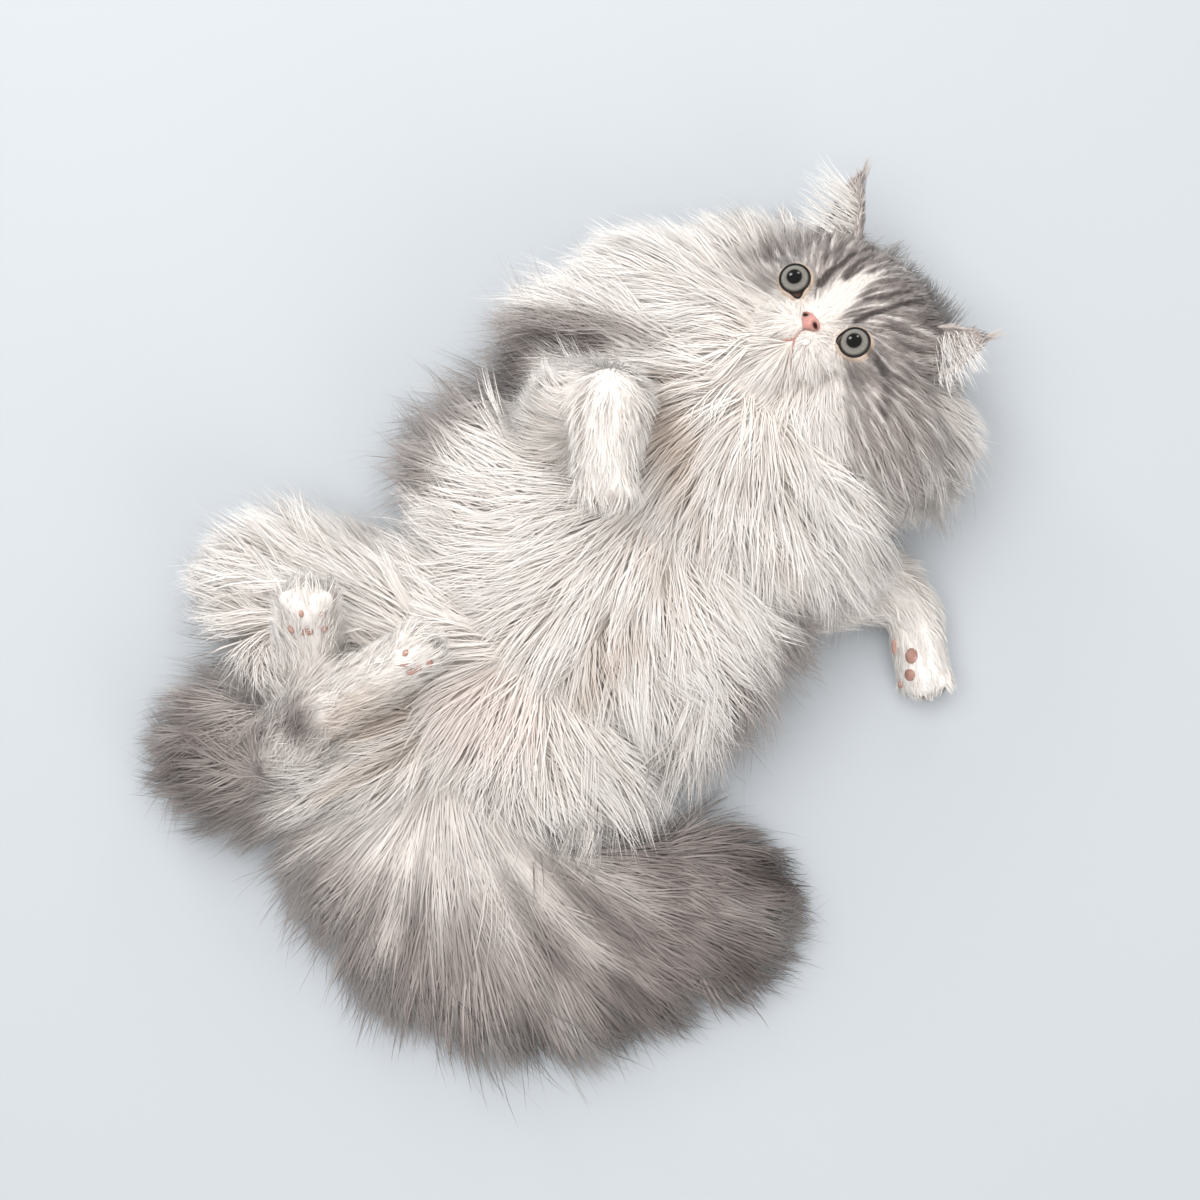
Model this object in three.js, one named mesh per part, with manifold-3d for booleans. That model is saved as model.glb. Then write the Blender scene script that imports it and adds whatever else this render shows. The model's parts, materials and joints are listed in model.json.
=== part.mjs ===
// A life-size, still model of a long-haired cat that lies on its back on a flat floor.
// Millimetres, +Z up. The face and belly look up, and the crown points towards +X +Y.
// Every soft form is a blend of a few egg shapes and limb bones. A ball of triangles is
// pushed out to the surface of that blend. Where the coat is long, flat tapered locks
// grow from this core out to the surface of a second, fuller blend. Each piece is then
// cut clear of the pieces that come before it in the list.
import * as THREE from "three";
import { mergeVertices } from "three/addons/utils/BufferGeometryUtils.js";
import Module from "manifold-3d";

const wasm = await Module();
wasm.setup();

// Driving dimensions
const GAP = 0.3;
const EYE_SPACING = 46.5;
const EYE_RADIUS = 10.5;
const FACE_AT = [113, 143.5, 100];
const HEAD_ROLL = -50;
const HEAD_YAW = 16;
const TRUNK_AT = [7.5, 25, 0];
const TRUNK_TURN = 50;
const CHEST_AT = 76;
const RUMP_AT = -90;
const BODY_BLEND = 16;
const FACE_BLEND = 5;
const LEG_RADII = [21, 18, 15.5];
// How far the tips of the long coat stand out past the core: along the part that they
// grow from, to its sides and up
const TRUNK_COAT = [14, 47, 11];
const NECK_COAT = [18, 45, 12];
const CHEEK_COAT = [31, 26, 10];
const THIGH_COAT = 32;
const TAIL_COAT = [50, 50, 7];
// A lock's usual length and width, how deep its root is sunk, how high its ridge stands
// above its edges for its width, and how far it bows out over the straight way to its tip
const LOCK_LENGTH = 68;
const LOCK_WIDTH = 39;
const SHORTEST_LOCK = 22;
const LOCK_SINK = 8;
const LOCK_RIDGE = 0.15;
const LOCK_BOW = 0.16;
const LOWEST_TIP = 1.6;
const CHEEK_LOCK_WIDTH = 32;
// How many locks are tried on the whole ball of a core; those of its bare side are left out
const LOCK_COUNTS = { head: 104, neck: 34, trunk: 54, thigh: 15, tail: 17 };

const WHITE = "#efe9e3";
const GREY = "#8b8482";
const PINK = "#d99f96";
const IRIS = "#8d8f80";

const vec = (x, y, z) => new THREE.Vector3(x, y, z);
const radians = THREE.MathUtils.degToRad;
const UP = vec(0, 0, 1);
const wayFrom = (a, b) => b.clone().sub(a).normalize();
const middle = (a, b) => a.clone().lerp(b, 0.5);
const plus = (a, b) => a.map((value, i) => value + b[i]);

// A frame with its own place and turn: place() and aim() take its x, y, z to the model's.
function frameAt(at, yaw, roll) {
  const angles = new THREE.Euler(0, radians(yaw), radians(roll), "ZYX");
  const turn = new THREE.Quaternion().setFromEuler(angles);
  return {
    turn,
    place: (x, y, z) => vec(x, y, z).applyQuaternion(turn).add(vec(...at)),
    aim: (x, y, z) => vec(x, y, z).applyQuaternion(turn).normalize(),
    inside: (p) => p.clone().sub(vec(...at)).applyQuaternion(turn.clone().invert()),
  };
}
// On the head, x runs to the cat's left, y to its crown and z out of its face.
const head = frameAt(FACE_AT, -HEAD_YAW, HEAD_ROLL);
// On the trunk, x runs to the head, y to the cat's right side and z up out of its belly.
const trunk = frameAt(TRUNK_AT, 0, TRUNK_TURN);
const level = frameAt([0, 0, 0], 0, 0);

// Distance to an egg shape and to a limb bone, negative inside
function egg(frame, at, [rx, ry, rz]) {
  return (p) => {
    const q = frame.inside(p).sub(vec(...at));
    const near = Math.hypot(q.x / rx, q.y / ry, q.z / rz);
    const slope = Math.hypot(q.x / (rx * rx), q.y / (ry * ry), q.z / (rz * rz));
    return slope < 1e-9 ? -Math.min(rx, ry, rz) : (near * (near - 1)) / slope;
  };
}
function bone(from, to, r1, r2) {
  const along = to.clone().sub(from);
  return (p) => {
    const q = p.clone().sub(from);
    const t = THREE.MathUtils.clamp(q.dot(along) / along.lengthSq(), 0, 1);
    return q.addScaledVector(along, -t).length() - (r1 + (r2 - r1) * t);
  };
}
const blend = (width, ...fields) => (p) =>
  fields
    .map((field) => field(p))
    .reduce((a, b) => Math.min(a, b) - Math.max(width - Math.abs(a - b), 0) ** 2 / (4 * width));
const limb = (points, radii) =>
  blend(6, ...points.slice(1).map((p, i) => bone(points[i], p, radii[i], radii[i + 1])));

// The way out of a form at a point
function outOf(field, p) {
  const step = (way) => field(p.clone().add(way)) - field(p.clone().sub(way));
  return vec(step(vec(0.5, 0, 0)), step(vec(0, 0.5, 0)), step(vec(0, 0, 0.5))).normalize();
}
// The point where a ray from inside a form leaves the form grown by `grow`
function surfacePoint(field, from, way, grow = 0) {
  let [low, high] = [0, 2];
  while (field(from.clone().addScaledVector(way, high)) < grow) [low, high] = [high, high + 2];
  for (let i = 0; i < 12; i++) {
    const half = (low + high) / 2;
    if (field(from.clone().addScaledVector(way, half)) < grow) low = half;
    else high = half;
  }
  return from.clone().addScaledVector(way, low);
}

// A three.js geometry as a solid that can be joined and cut
function solidOf(geometry) {
  const bare = new THREE.BufferGeometry();
  bare.setAttribute("position", geometry.getAttribute("position"));
  bare.setIndex(geometry.getIndex());
  const merged = mergeVertices(bare, 1e-4);
  const vertProperties = merged.getAttribute("position").array;
  const triVerts = new Uint32Array(merged.getIndex().array);
  return new wasm.Manifold(new wasm.Mesh({ numProp: 3, vertProperties, triVerts }));
}
const joined = (solids) => wasm.Manifold.union(solids);
const cutBy = (solid, cuts) => cuts.reduce((left, cut) => left.subtract(cut), solid);
const largest = (solid) => solid.decompose().sort((a, b) => b.volume() - a.volume())[0];

// A ray from a form's centre, drawn out along the form's `axis` by `times`
const rayOf = ({ axis = UP, times = 1 }, way) =>
  way.addScaledVector(axis, way.dot(axis) * (times - 1)).normalize();
// A ball of triangles pushed out to a form
function skin(shape, grow) {
  const geometry = new THREE.IcosahedronGeometry(1, shape.detail);
  const points = geometry.getAttribute("position");
  for (let i = 0; i < points.count; i++) {
    const way = rayOf(shape, vec().fromBufferAttribute(points, i));
    const p = surfacePoint(shape.field, shape.centre, way, grow);
    points.setXYZ(i, p.x, p.y, p.z);
  }
  return solidOf(geometry);
}
const skinOf = (shape) => (grow) => skin(shape, grow);
function ball(frame, at, size, detail, grow = 0) {
  const geometry = new THREE.IcosahedronGeometry(1, detail);
  geometry.scale(...size.map((r) => r + grow)).applyQuaternion(frame.turn);
  return solidOf(geometry.translate(...frame.place(...at)));
}
// A thin square bead along points on a surface, for a line such as the mouth's
function bead(points, size) {
  const corners = [[-size, 0], [0, -size], [size, 0], [0, size]];
  const shape = new THREE.Shape(corners.map(([x, y]) => new THREE.Vector2(x, y)));
  const extrudePath = new THREE.CatmullRomCurve3(points);
  return solidOf(new THREE.ExtrudeGeometry(shape, { extrudePath, steps: points.length * 2 }));
}

// A repeatable random draw from 0 to 1
function seeded(seed) {
  let state = seed;
  return () => {
    state = (state * 1664525 + 1013904223) % 4294967296;
    return state / 4294967296;
  };
}
// A lock is a row of low triangles along its path, wide past the root and narrow to the
// tip. The path leaves the core, bows out and bends over to the tip.
const LOCK_STEPS = [0, 0.42, 0.78];
const LOCK_WIDTHS = [0.9, 1, 0.56];
const LOCK_BEND = 0.45;
const EDGE_GROWTH = 4;
function lockSolid({ root, out, tip, width, bow }, grow) {
  const bend = root.clone().lerp(tip, LOCK_BEND).addScaledVector(out, bow);
  const start = root.clone().addScaledVector(out, -LOCK_SINK);
  const path = new THREE.QuadraticBezierCurve3(start, bend, tip);
  const side = wayFrom(root, tip).cross(out).normalize();
  const positions = [];
  LOCK_STEPS.forEach((t, i) => {
    const ridge = side.clone().cross(path.getTangent(t)).normalize();
    const half = (width / 2) * LOCK_WIDTHS[i] + grow * EDGE_GROWTH;
    const high = width * LOCK_RIDGE * LOCK_WIDTHS[i] + grow;
    for (const [across, up] of [[half, -grow], [0, high], [-half, -grow]])
      positions.push(...path.getPoint(t).addScaledVector(side, across).addScaledVector(ridge, up));
  });
  positions.push(...tip.clone().addScaledVector(path.getTangent(1), grow * EDGE_GROWTH));
  const last = (LOCK_STEPS.length - 1) * 3;
  const index = [0, 1, 2];
  for (let ring = 0; ring < last; ring += 3)
    for (const [a, b] of [[0, 1], [1, 2], [2, 0]]) {
      index.push(ring + a, ring + a + 3, ring + b);
      index.push(ring + b, ring + a + 3, ring + b + 3);
    }
  for (const [a, b] of [[0, 1], [1, 2], [2, 0]]) index.push(last + a, last + 3, last + b);
  const geometry = new THREE.BufferGeometry();
  geometry.setAttribute("position", new THREE.BufferAttribute(new Float32Array(positions), 3));
  return solidOf(geometry.setIndex(index));
}
// Locks spread evenly over a core in a spiral, where `grows` says that the coat is long.
// Each runs along the lie of the coat and reaches the surface of the fuller form.
const SPIRAL_TURN = Math.PI * (3 - Math.sqrt(5));
const SWING = 0.4;
const VARY = 0.2;
const RISE = [0.1, 0.8];
const LONGEST = 1.35;
function locksOn({ core, full, lie, grows, count, seed, width = LOCK_WIDTH }) {
  const draw = seeded(seed);
  const locks = [];
  for (let i = 0; i < count; i++) {
    const [swing, more, wider] = [draw() - 0.5, draw() - 0.5, draw() - 0.5];
    const height = 1 - (2 * i + 1) / count;
    const ring = Math.sqrt(1 - height * height);
    const spin = i * SPIRAL_TURN;
    const way = rayOf(core, vec(ring * Math.cos(spin), ring * Math.sin(spin), height));
    const root = surfacePoint(core.field, core.centre, way);
    if (!grows(root)) continue;
    const out = outOf(core.field, root);
    const run = lie(root);
    run.addScaledVector(out, -run.dot(out)).normalize().applyAxisAngle(out, swing * SWING);
    const depth = surfacePoint(full, root, out).distanceTo(root);
    const rise = THREE.MathUtils.clamp(depth / LOCK_LENGTH, ...RISE);
    const ahead = run.multiplyScalar(Math.sqrt(1 - rise * rise)).addScaledVector(out, rise);
    const room = surfacePoint(full, root, ahead).distanceTo(root);
    const reach = Math.min(room, LOCK_LENGTH * LONGEST);
    if (reach < SHORTEST_LOCK) continue;
    const tip = root.clone().addScaledVector(ahead, reach * (1 + more * VARY));
    tip.z = Math.max(tip.z, LOWEST_TIP);
    locks.push({ root, out, tip, width: width * (1 + wider * VARY), bow: reach * LOCK_BOW });
  }
  return locks;
}

// The head
const bothSides = ([x, y, z], size) => [1, -1].map((side) => egg(head, [side * x, y, z], size));
const headField = (coat) =>
  blend(
    9,
    egg(head, [0, 8, -46], [50, 44, 46]),
    ...bothSides([36, -15, -46], plus([32, 34, 36], coat)),
    ...bothSides([17, 13, -16], [18, 14, 16]),
    ...bothSides([EYE_SPACING / 2, -2, -15], [17, 15, 14]),
  );
const headShape = { field: headField([4, 0, 0]), centre: head.place(0, -4, -30), detail: 5 };
const muzzleShape = {
  field: blend(
    FACE_BLEND,
    ...bothSides([9.5, -16, -5.5], [11.5, 10, 10.5]),
    egg(head, [0, -28.5, -11], [9.5, 9, 11]),
    egg(head, [0, -3, -6], [7, 9, 9]),
  ),
  centre: head.place(0, -14, -9),
  detail: 4,
};
const noseShape = {
  field: blend(2, egg(head, [0, -7.5, 4.2], [5, 2.8, 3.4]), egg(head, [0, -10, 4.4], [2.2, 3.2, 3])),
  centre: head.place(0, -8, 3.5),
  detail: 2,
};
const eyeAt = (side) => [(side * EYE_SPACING) / 2, 0, -5.6];
const eye = (side) => (grow) => ball(head, eyeAt(side), Array(3).fill(EYE_RADIUS), 2, grow);
// A low ring of lids around each eye, a little longer than wide
const LID = { radius: 9.9, thickness: 2, height: 1, tall: 1.06 };
function lids() {
  return [1, -1].map((side) => {
    const geometry = new THREE.TorusGeometry(LID.radius, LID.thickness, 4, 12);
    geometry.scale(1, LID.tall, 0.9).applyQuaternion(head.turn);
    return solidOf(geometry.translate(...head.place(eyeAt(side)[0], 0, LID.height)));
  });
}
function onMuzzle(x, y) {
  const from = head.place(x * 0.5, -16, -12);
  return surfacePoint(muzzleShape.field, from, wayFrom(from, head.place(x, y, 10)));
}
// The line of the mouth runs down from the nose and parts into an upside-down V round the
// chin. A lip rolls along its inner edge.
const MOUTH_HALF = [[0, -19], [3.5, -22.5], [7, -27], [10, -32]];
const GROOVE = 0.75;
const LIP = 1.5;
function muzzle(grow) {
  if (grow) return skin(muzzleShape, grow);
  const across = MOUTH_HALF.slice(1).map(([x, y]) => [-x, y]).reverse().concat(MOUTH_HALF);
  const lip = bead(across.map(([x, y]) => onMuzzle(x * 0.8, y - LIP)), LIP);
  const lines = [bead([-10, -14.5, -19].map((y) => onMuzzle(0, y)), GROOVE)];
  lines.push(bead(across.map(([x, y]) => onMuzzle(x, y)), GROOVE));
  return cutBy(joined([skin(muzzleShape, 0), lip]), lines);
}
function nose(grow) {
  if (grow) return skin(noseShape, grow);
  const nostrils = [1, -1].map((side) => ball(head, [side * 2.5, -8.4, 7.2], [1.2, 0.8, 1.8], 0));
  return cutBy(skin(noseShape, 0), nostrils);
}
// An ear is a rounded cone, hollowed out from the front.
const EARS = {
  left: { base: head.place(38, 32, -44), tip: head.place(57, 57, -28), open: head.aim(0.25, 0.1, 1) },
  right: { base: head.place(-38, 34, -44), tip: head.place(-50, 67, -16), open: head.aim(-0.4, 0, 1) },
};
const EAR_PROFILE = [[0, 0], [16, 0], [15.5, 0.25], [12.5, 0.5], [8.5, 0.74], [4, 0.93], [0, 1]];
const EAR_CUP = { scale: 0.86, ahead: 3.8, rise: 2.4 };
function ear({ base, tip, open }) {
  const axis = wayFrom(base, tip);
  const front = open.clone().addScaledVector(axis, -open.dot(axis)).normalize();
  const turn = new THREE.Matrix4().makeBasis(vec().crossVectors(axis, front), axis, front);
  const height = base.distanceTo(tip);
  const cone = (scale, grow, ahead, rise) => {
    const profile = EAR_PROFILE.map(([r, h]) => new THREE.Vector2(r * scale, h * height * scale));
    const geometry = new THREE.LatheGeometry(profile, 10);
    geometry.scale(1 + grow / 15, 1 + grow / height, 0.5 + grow / 15).applyMatrix4(turn);
    const at = base.clone().addScaledVector(front, ahead).addScaledVector(axis, rise);
    return solidOf(geometry.translate(...at));
  };
  const cup = cone(EAR_CUP.scale, 0, EAR_CUP.ahead, EAR_CUP.rise);
  return (grow) => (grow ? cone(1, grow, 0, 0) : cone(1, 0, 0, 0).subtract(cup));
}

// The trunk and the neck with its ruff
const trunkField = (coat) =>
  blend(
    BODY_BLEND,
    egg(trunk, [CHEST_AT, 0, 54], plus([56, 86, 56], coat)),
    egg(trunk, [0, 0, 48], plus([72, 87, 50], coat)),
    egg(trunk, [RUMP_AT, 2, 36], plus([46, 74, 38], coat)),
  );
const trunkShape = {
  field: trunkField([0, 0, 0]),
  centre: trunk.place(-4, 0, 46),
  detail: 4,
  axis: trunk.aim(1, 0, 0),
  times: 1.5,
};
const neckField = (coat) =>
  blend(
    BODY_BLEND,
    egg(trunk, [118, 0, 48], plus([40, 84, 50], coat)),
    egg(head, [0, -10, -62], plus([76, 54, 34], coat)),
  );
const neckShape = {
  field: neckField([0, 0, 0]),
  centre: trunk.place(132, -2, 44),
  detail: 3,
  axis: head.aim(1, 0, 0),
  times: 1.3,
};
const trunkWay = trunk.aim(1, 0, 0);
const placeAlong = (a) => trunkWay.dot(trunk.place(a, 0, 0));
// The stretch of the trunk between two places along it
const slice = (low, high) => (grow) => {
  const wider = grow - GAP / 2;
  return skin(trunkShape, grow)
    .trimByPlane(trunkWay.toArray(), placeAlong(low) - wider)
    .trimByPlane(trunkWay.clone().negate().toArray(), -placeAlong(high) - wider);
};

// The thighs with their breeches, and the tail
const THIGHS = {
  left: { hip: vec(-100, -62, 36), knee: vec(-180, -76, 26), radius: 27 },
  right: { hip: vec(-104, -20, 40), knee: vec(-156, -4, 34), radius: 31 },
};
const thighField = ({ hip, knee, radius }, coat) => bone(hip, knee, radius + coat, radius * 1.1 + coat);
const thighShape = (thigh) => ({
  field: thighField(thigh, 0),
  centre: middle(thigh.hip, thigh.knee),
  detail: 2,
  axis: wayFrom(thigh.hip, thigh.knee),
  times: 1.4,
});
const TAIL = new THREE.CatmullRomCurve3([
  vec(-86, -84, 22),
  vec(-84, -124, 20),
  vec(-54, -156, 18),
  vec(-8, -166, 16),
  vec(48, -156, 14),
]);
// A stretch of the tail: flat eggs in a row along the bone, from and to in lengths of it
function tailField(from, to, coat) {
  const stops = [0, 1, 2, 3].map((i) => from + ((to - from) * i) / 3);
  const size = (t) => plus([50 - 14 * t, 50 - 14 * t, 19 - 4 * t], coat);
  return blend(14, ...stops.map((t) => egg(level, TAIL.getPoint(t).toArray(), size(t))));
}
const tailShape = (from, to) => ({
  field: tailField(from, to, [0, 0, 0]),
  centre: TAIL.getPoint((from + to) / 2),
  detail: 2,
  times: 0.7,
});

// Legs, from the body out to the wrist or ankle, and paws
const LEGS = {
  foreleg_left: [vec(88, 2, 38), vec(150, 10, 20), vec(166, -4, 17)],
  foreleg_right: [vec(-18, 84, 84), vec(-13, 95, 116), vec(2, 95, 142)],
  hindleg_left: [vec(-162, -76, 50), vec(-142, -57, 80), vec(-110, -40, 98)],
  hindleg_right: [vec(-166, -30, 46), vec(-150, -42, 60), vec(-147, -20, 86)],
};
const PAWS = {
  forepaw_left: { from: vec(166, -4, 17), to: vec(172, -36, 15), sole: vec(-0.5, 0, 1), width: 19 },
  forepaw_right: { from: vec(5, 93, 146), to: vec(3, 56, 142), sole: vec(0, 0, -1), width: 18, wrist: 19 },
  hindpaw_left: { from: vec(-110, -40, 98), to: vec(-94, -29, 110), sole: vec(0.2, -0.4, 1), width: 16 },
  hindpaw_right: { from: vec(-147, -20, 86), to: vec(-146, -5, 102), sole: vec(0, -0.5, 1), width: 17 },
};
const leg = (points) =>
  skinOf({
    field: limb(points, LEG_RADII),
    centre: middle(points[0], points[2]).lerp(points[1], 0.5),
    detail: 2,
    axis: wayFrom(points[0], points[2]),
    times: 1.7,
  });
// A paw is a palm and four toes in an arc, with a pad under each and one under the palm.
const TOE = [6.6, 6.6, 6.2];
const TOE_BLEND = 4;
const TOE_PAD = 3.4;
const PALM_PAD = 6;
function paw({ from, to, sole, width, wrist = LEG_RADII[2] }) {
  const ahead = wayFrom(from, to);
  const across = vec().crossVectors(ahead, sole).normalize();
  const under = vec().crossVectors(across, ahead).normalize();
  const place = (forward, side) =>
    to.clone().addScaledVector(ahead, forward).addScaledVector(across, side);
  const toes = [-1.5, -0.5, 0.5, 1.5].map((n) => [9 - Math.abs(n) * 2.6, (n * width) / 2.6]);
  const palm = bone(from, to, wrist, width * 0.86);
  const toeEgg = ([forward, side]) => egg(level, place(forward, side).toArray(), TOE);
  const field = blend(TOE_BLEND, palm, ...toes.map(toeEgg));
  const shape = { field, centre: middle(from, to), detail: 3, axis: ahead, times: 1.4 };
  const pads = [...toes.map(([forward, side]) => [forward, side, TOE_PAD]), [-4, 0, PALM_PAD]];
  const pad = ([forward, side, r], grow) =>
    ball(level, surfacePoint(field, place(forward, side), under).toArray(), [r, r, r * 0.8], 0, grow);
  return (grow) => joined([skin(shape, grow), ...pads.map((one) => pad(one, grow))]);
}

// The long coat of each part: where its locks grow and which way they lie
const FACE_MIDDLE = head.place(0, -6, -8);
const fromFace = (p) => p.clone().sub(FACE_MIDDLE).multiply(vec(1, 1, 0.5));
const fromMidline = (p) => {
  const across = THREE.MathUtils.clamp(trunk.inside(p).y / 30, -1, 1);
  return trunk.aim(-0.7, across, -0.2);
};
const downThigh = ({ hip, knee }) => (p) => p.clone().sub(hip.clone().lerp(knee, -0.2));
// The place along the tail nearest to a point, in lengths of the tail
const TAIL_PLACES = Array.from({ length: 21 }, (_, i) => i / 20);
const placeOnTail = (p) => {
  const far = (t) => TAIL.getPoint(t).setZ(0).distanceTo(p.clone().setZ(0));
  return TAIL_PLACES.reduce((best, t) => (far(t) < far(best) ? t : best));
};
const alongTail = (p) => {
  const t = placeOnTail(p);
  const off = p.clone().sub(TAIL.getPoint(t)).setZ(0).divideScalar(30);
  return TAIL.getTangent(t).multiplyScalar(0.8).add(off);
};
const aboveFloor = (p) => p.z > 6;
const onSlice = (low, high) => (p) => {
  const along = trunk.inside(p).x;
  return aboveFloor(p) && along > low && along < high;
};
const trunkLocks = (low, high, seed) =>
  locksOn({
    core: trunkShape,
    full: trunkField(TRUNK_COAT),
    lie: fromMidline,
    grows: onSlice(low, high),
    count: LOCK_COUNTS.trunk,
    seed,
  });
const thighLocks = (thigh, seed) =>
  locksOn({
    core: thighShape(thigh),
    full: thighField(thigh, THIGH_COAT),
    lie: downThigh(thigh),
    grows: aboveFloor,
    count: LOCK_COUNTS.thigh,
    seed,
  });
const tailLocks = (from, to, seed) =>
  locksOn({
    core: tailShape(from, to),
    full: tailField(from, to, TAIL_COAT),
    lie: alongTail,
    grows: aboveFloor,
    count: LOCK_COUNTS.tail,
    seed,
  });
// The cheeks and throat, round the short fur of the face
const roundFace = (p) => {
  const { x, y, z } = head.inside(p);
  return z < -12 && z > -44 && y < 30 && Math.hypot(x, y + 4) > 40;
};
const COATS = {
  head: locksOn({
    core: headShape,
    full: headField(CHEEK_COAT),
    lie: fromFace,
    grows: roundFace,
    count: LOCK_COUNTS.head,
    seed: 3,
    width: CHEEK_LOCK_WIDTH,
  }),
  neck: locksOn({
    core: neckShape,
    full: neckField(NECK_COAT),
    lie: fromFace,
    grows: aboveFloor,
    count: LOCK_COUNTS.neck,
    seed: 5,
  }),
  chest: trunkLocks(34, 140, 7),
  belly: trunkLocks(-46, 34, 11),
  rump: trunkLocks(-140, -46, 13),
  thigh_left: thighLocks(THIGHS.left, 17),
  thigh_right: thighLocks(THIGHS.right, 19),
  tail_root: tailLocks(0, 0.5, 23),
  tail_tip: tailLocks(0.55, 1, 29),
};

// The pieces, in the order in which each keeps its shape and the later ones make room
const PIECES = [
  ["eye_left", eye(1), IRIS, 0.08],
  ["eye_right", eye(-1), IRIS, 0.08],
  ["nose", nose, PINK, 0.5],
  ["head", (grow) => joined([skin(headShape, grow), ...lids()]), GREY, 0.9],
  ["muzzle", muzzle, WHITE, 0.85],
  ["ear_left", ear(EARS.left), GREY, 0.85],
  ["ear_right", ear(EARS.right), GREY, 0.85],
  ["forepaw_left", paw(PAWS.forepaw_left), WHITE, 0.85],
  ["forepaw_right", paw(PAWS.forepaw_right), WHITE, 0.85],
  ["hindpaw_left", paw(PAWS.hindpaw_left), WHITE, 0.85],
  ["hindpaw_right", paw(PAWS.hindpaw_right), WHITE, 0.85],
  ["hindleg_left", leg(LEGS.hindleg_left), WHITE, 0.85],
  ["hindleg_right", leg(LEGS.hindleg_right), WHITE, 0.85],
  ["neck", skinOf(neckShape), WHITE, 0.9],
  ["chest", slice(34, 200), WHITE, 0.9],
  ["belly", slice(-46, 34), WHITE, 0.9],
  ["rump", slice(-200, -46), WHITE, 0.9],
  ["foreleg_left", leg(LEGS.foreleg_left), WHITE, 0.85],
  ["foreleg_right", leg(LEGS.foreleg_right), WHITE, 0.85],
  ["thigh_left", skinOf(thighShape(THIGHS.left)), GREY, 0.9],
  ["thigh_right", skinOf(thighShape(THIGHS.right)), WHITE, 0.9],
  ["tail_root", skinOf(tailShape(0, 0.5)), GREY, 0.9],
  ["tail_tip", skinOf(tailShape(0.55, 1)), GREY, 0.9],
];

const onFloor = (solid) => solid.trimByPlane([0, 0, 1], 0);
const mayMeet = (a, b) => {
  const [p, q] = [a.boundingBox(), b.boundingBox()];
  return [0, 1, 2].every((i) => p.min[i] < q.max[i] && q.min[i] < p.max[i]);
};
function meshOf(name, solid, color, roughness) {
  const { vertProperties, triVerts } = solid.getMesh();
  const geometry = new THREE.BufferGeometry();
  geometry.setAttribute("position", new THREE.BufferAttribute(vertProperties, 3));
  geometry.setIndex(new THREE.BufferAttribute(triVerts, 1));
  geometry.computeVertexNormals();
  const mesh = new THREE.Mesh(geometry, new THREE.MeshStandardMaterial({ color, roughness, metalness: 0 }));
  mesh.name = name;
  return mesh;
}

// A lock cut clear of its neighbours. One that they would cut short is bowed further
// out, or else left out.
const MORE_BOW = [0, 8, 16];
const WHOLE_ENOUGH = 0.7;
function clearLock(lock, core, taken) {
  for (const more of MORE_BOW) {
    const tried = { ...lock, bow: lock.bow + more };
    const solid = lockSolid(tried, 0);
    const left = cutBy(solid, taken.filter((other) => mayMeet(solid, other)));
    if (left.isEmpty()) continue;
    const kept = largest(left);
    const rooted = kept.intersect(core).volume() > 1;
    const whole = kept.volume() > WHOLE_ENOUGH * solid.volume();
    if (rooted && whole) return [{ kept, grown: lockSolid(tried, GAP) }];
  }
  return [];
}

// The cores come first, each cut clear of those before it, and then the locks.
const grownCores = PIECES.map(([, recipe]) => recipe(GAP));
const cores = PIECES.map(([, recipe], i) => {
  const core = onFloor(recipe(0));
  return largest(cutBy(core, grownCores.slice(0, i).filter((other) => mayMeet(core, other))));
});
const cat = new THREE.Group();
const earlierLocks = [];
PIECES.forEach(([name, , color, roughness], i) => {
  const taken = [...grownCores.filter((_, other) => other !== i), ...earlierLocks];
  const locks = (COATS[name] ?? []).flatMap((lock) => clearLock(lock, cores[i], taken));
  earlierLocks.push(...locks.map(({ grown }) => grown));
  const whole = onFloor(joined([cores[i], ...locks.map(({ kept }) => kept)]));
  cat.add(meshOf(name, largest(whole), color, roughness));
});

// The origin is under the middle of the cat, on the floor.
const centre = new THREE.Box3().setFromObject(cat).getCenter(vec(0, 0, 0));
cat.position.set(-centre.x, -centre.y, 0);
export default cat;
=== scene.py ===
# %% [markdown]
# # A long-haired cat on its back
# This lesson dresses a plain model of a grey and white Persian cat. The solids give its
# size and pose. Here they get one smooth skin, and over it a coat of many thousand thin
# tapered tufts, each a small closed mesh. Eyes, nose leather and paw pads are pieces of
# their own. All places are worked out in millimetres and turned into metres at the end.

import json
import math

import bpy
import numpy as np
from mathutils import Matrix, Vector
from mathutils.bvhtree import BVHTree
from mathutils.kdtree import KDTree

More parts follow.
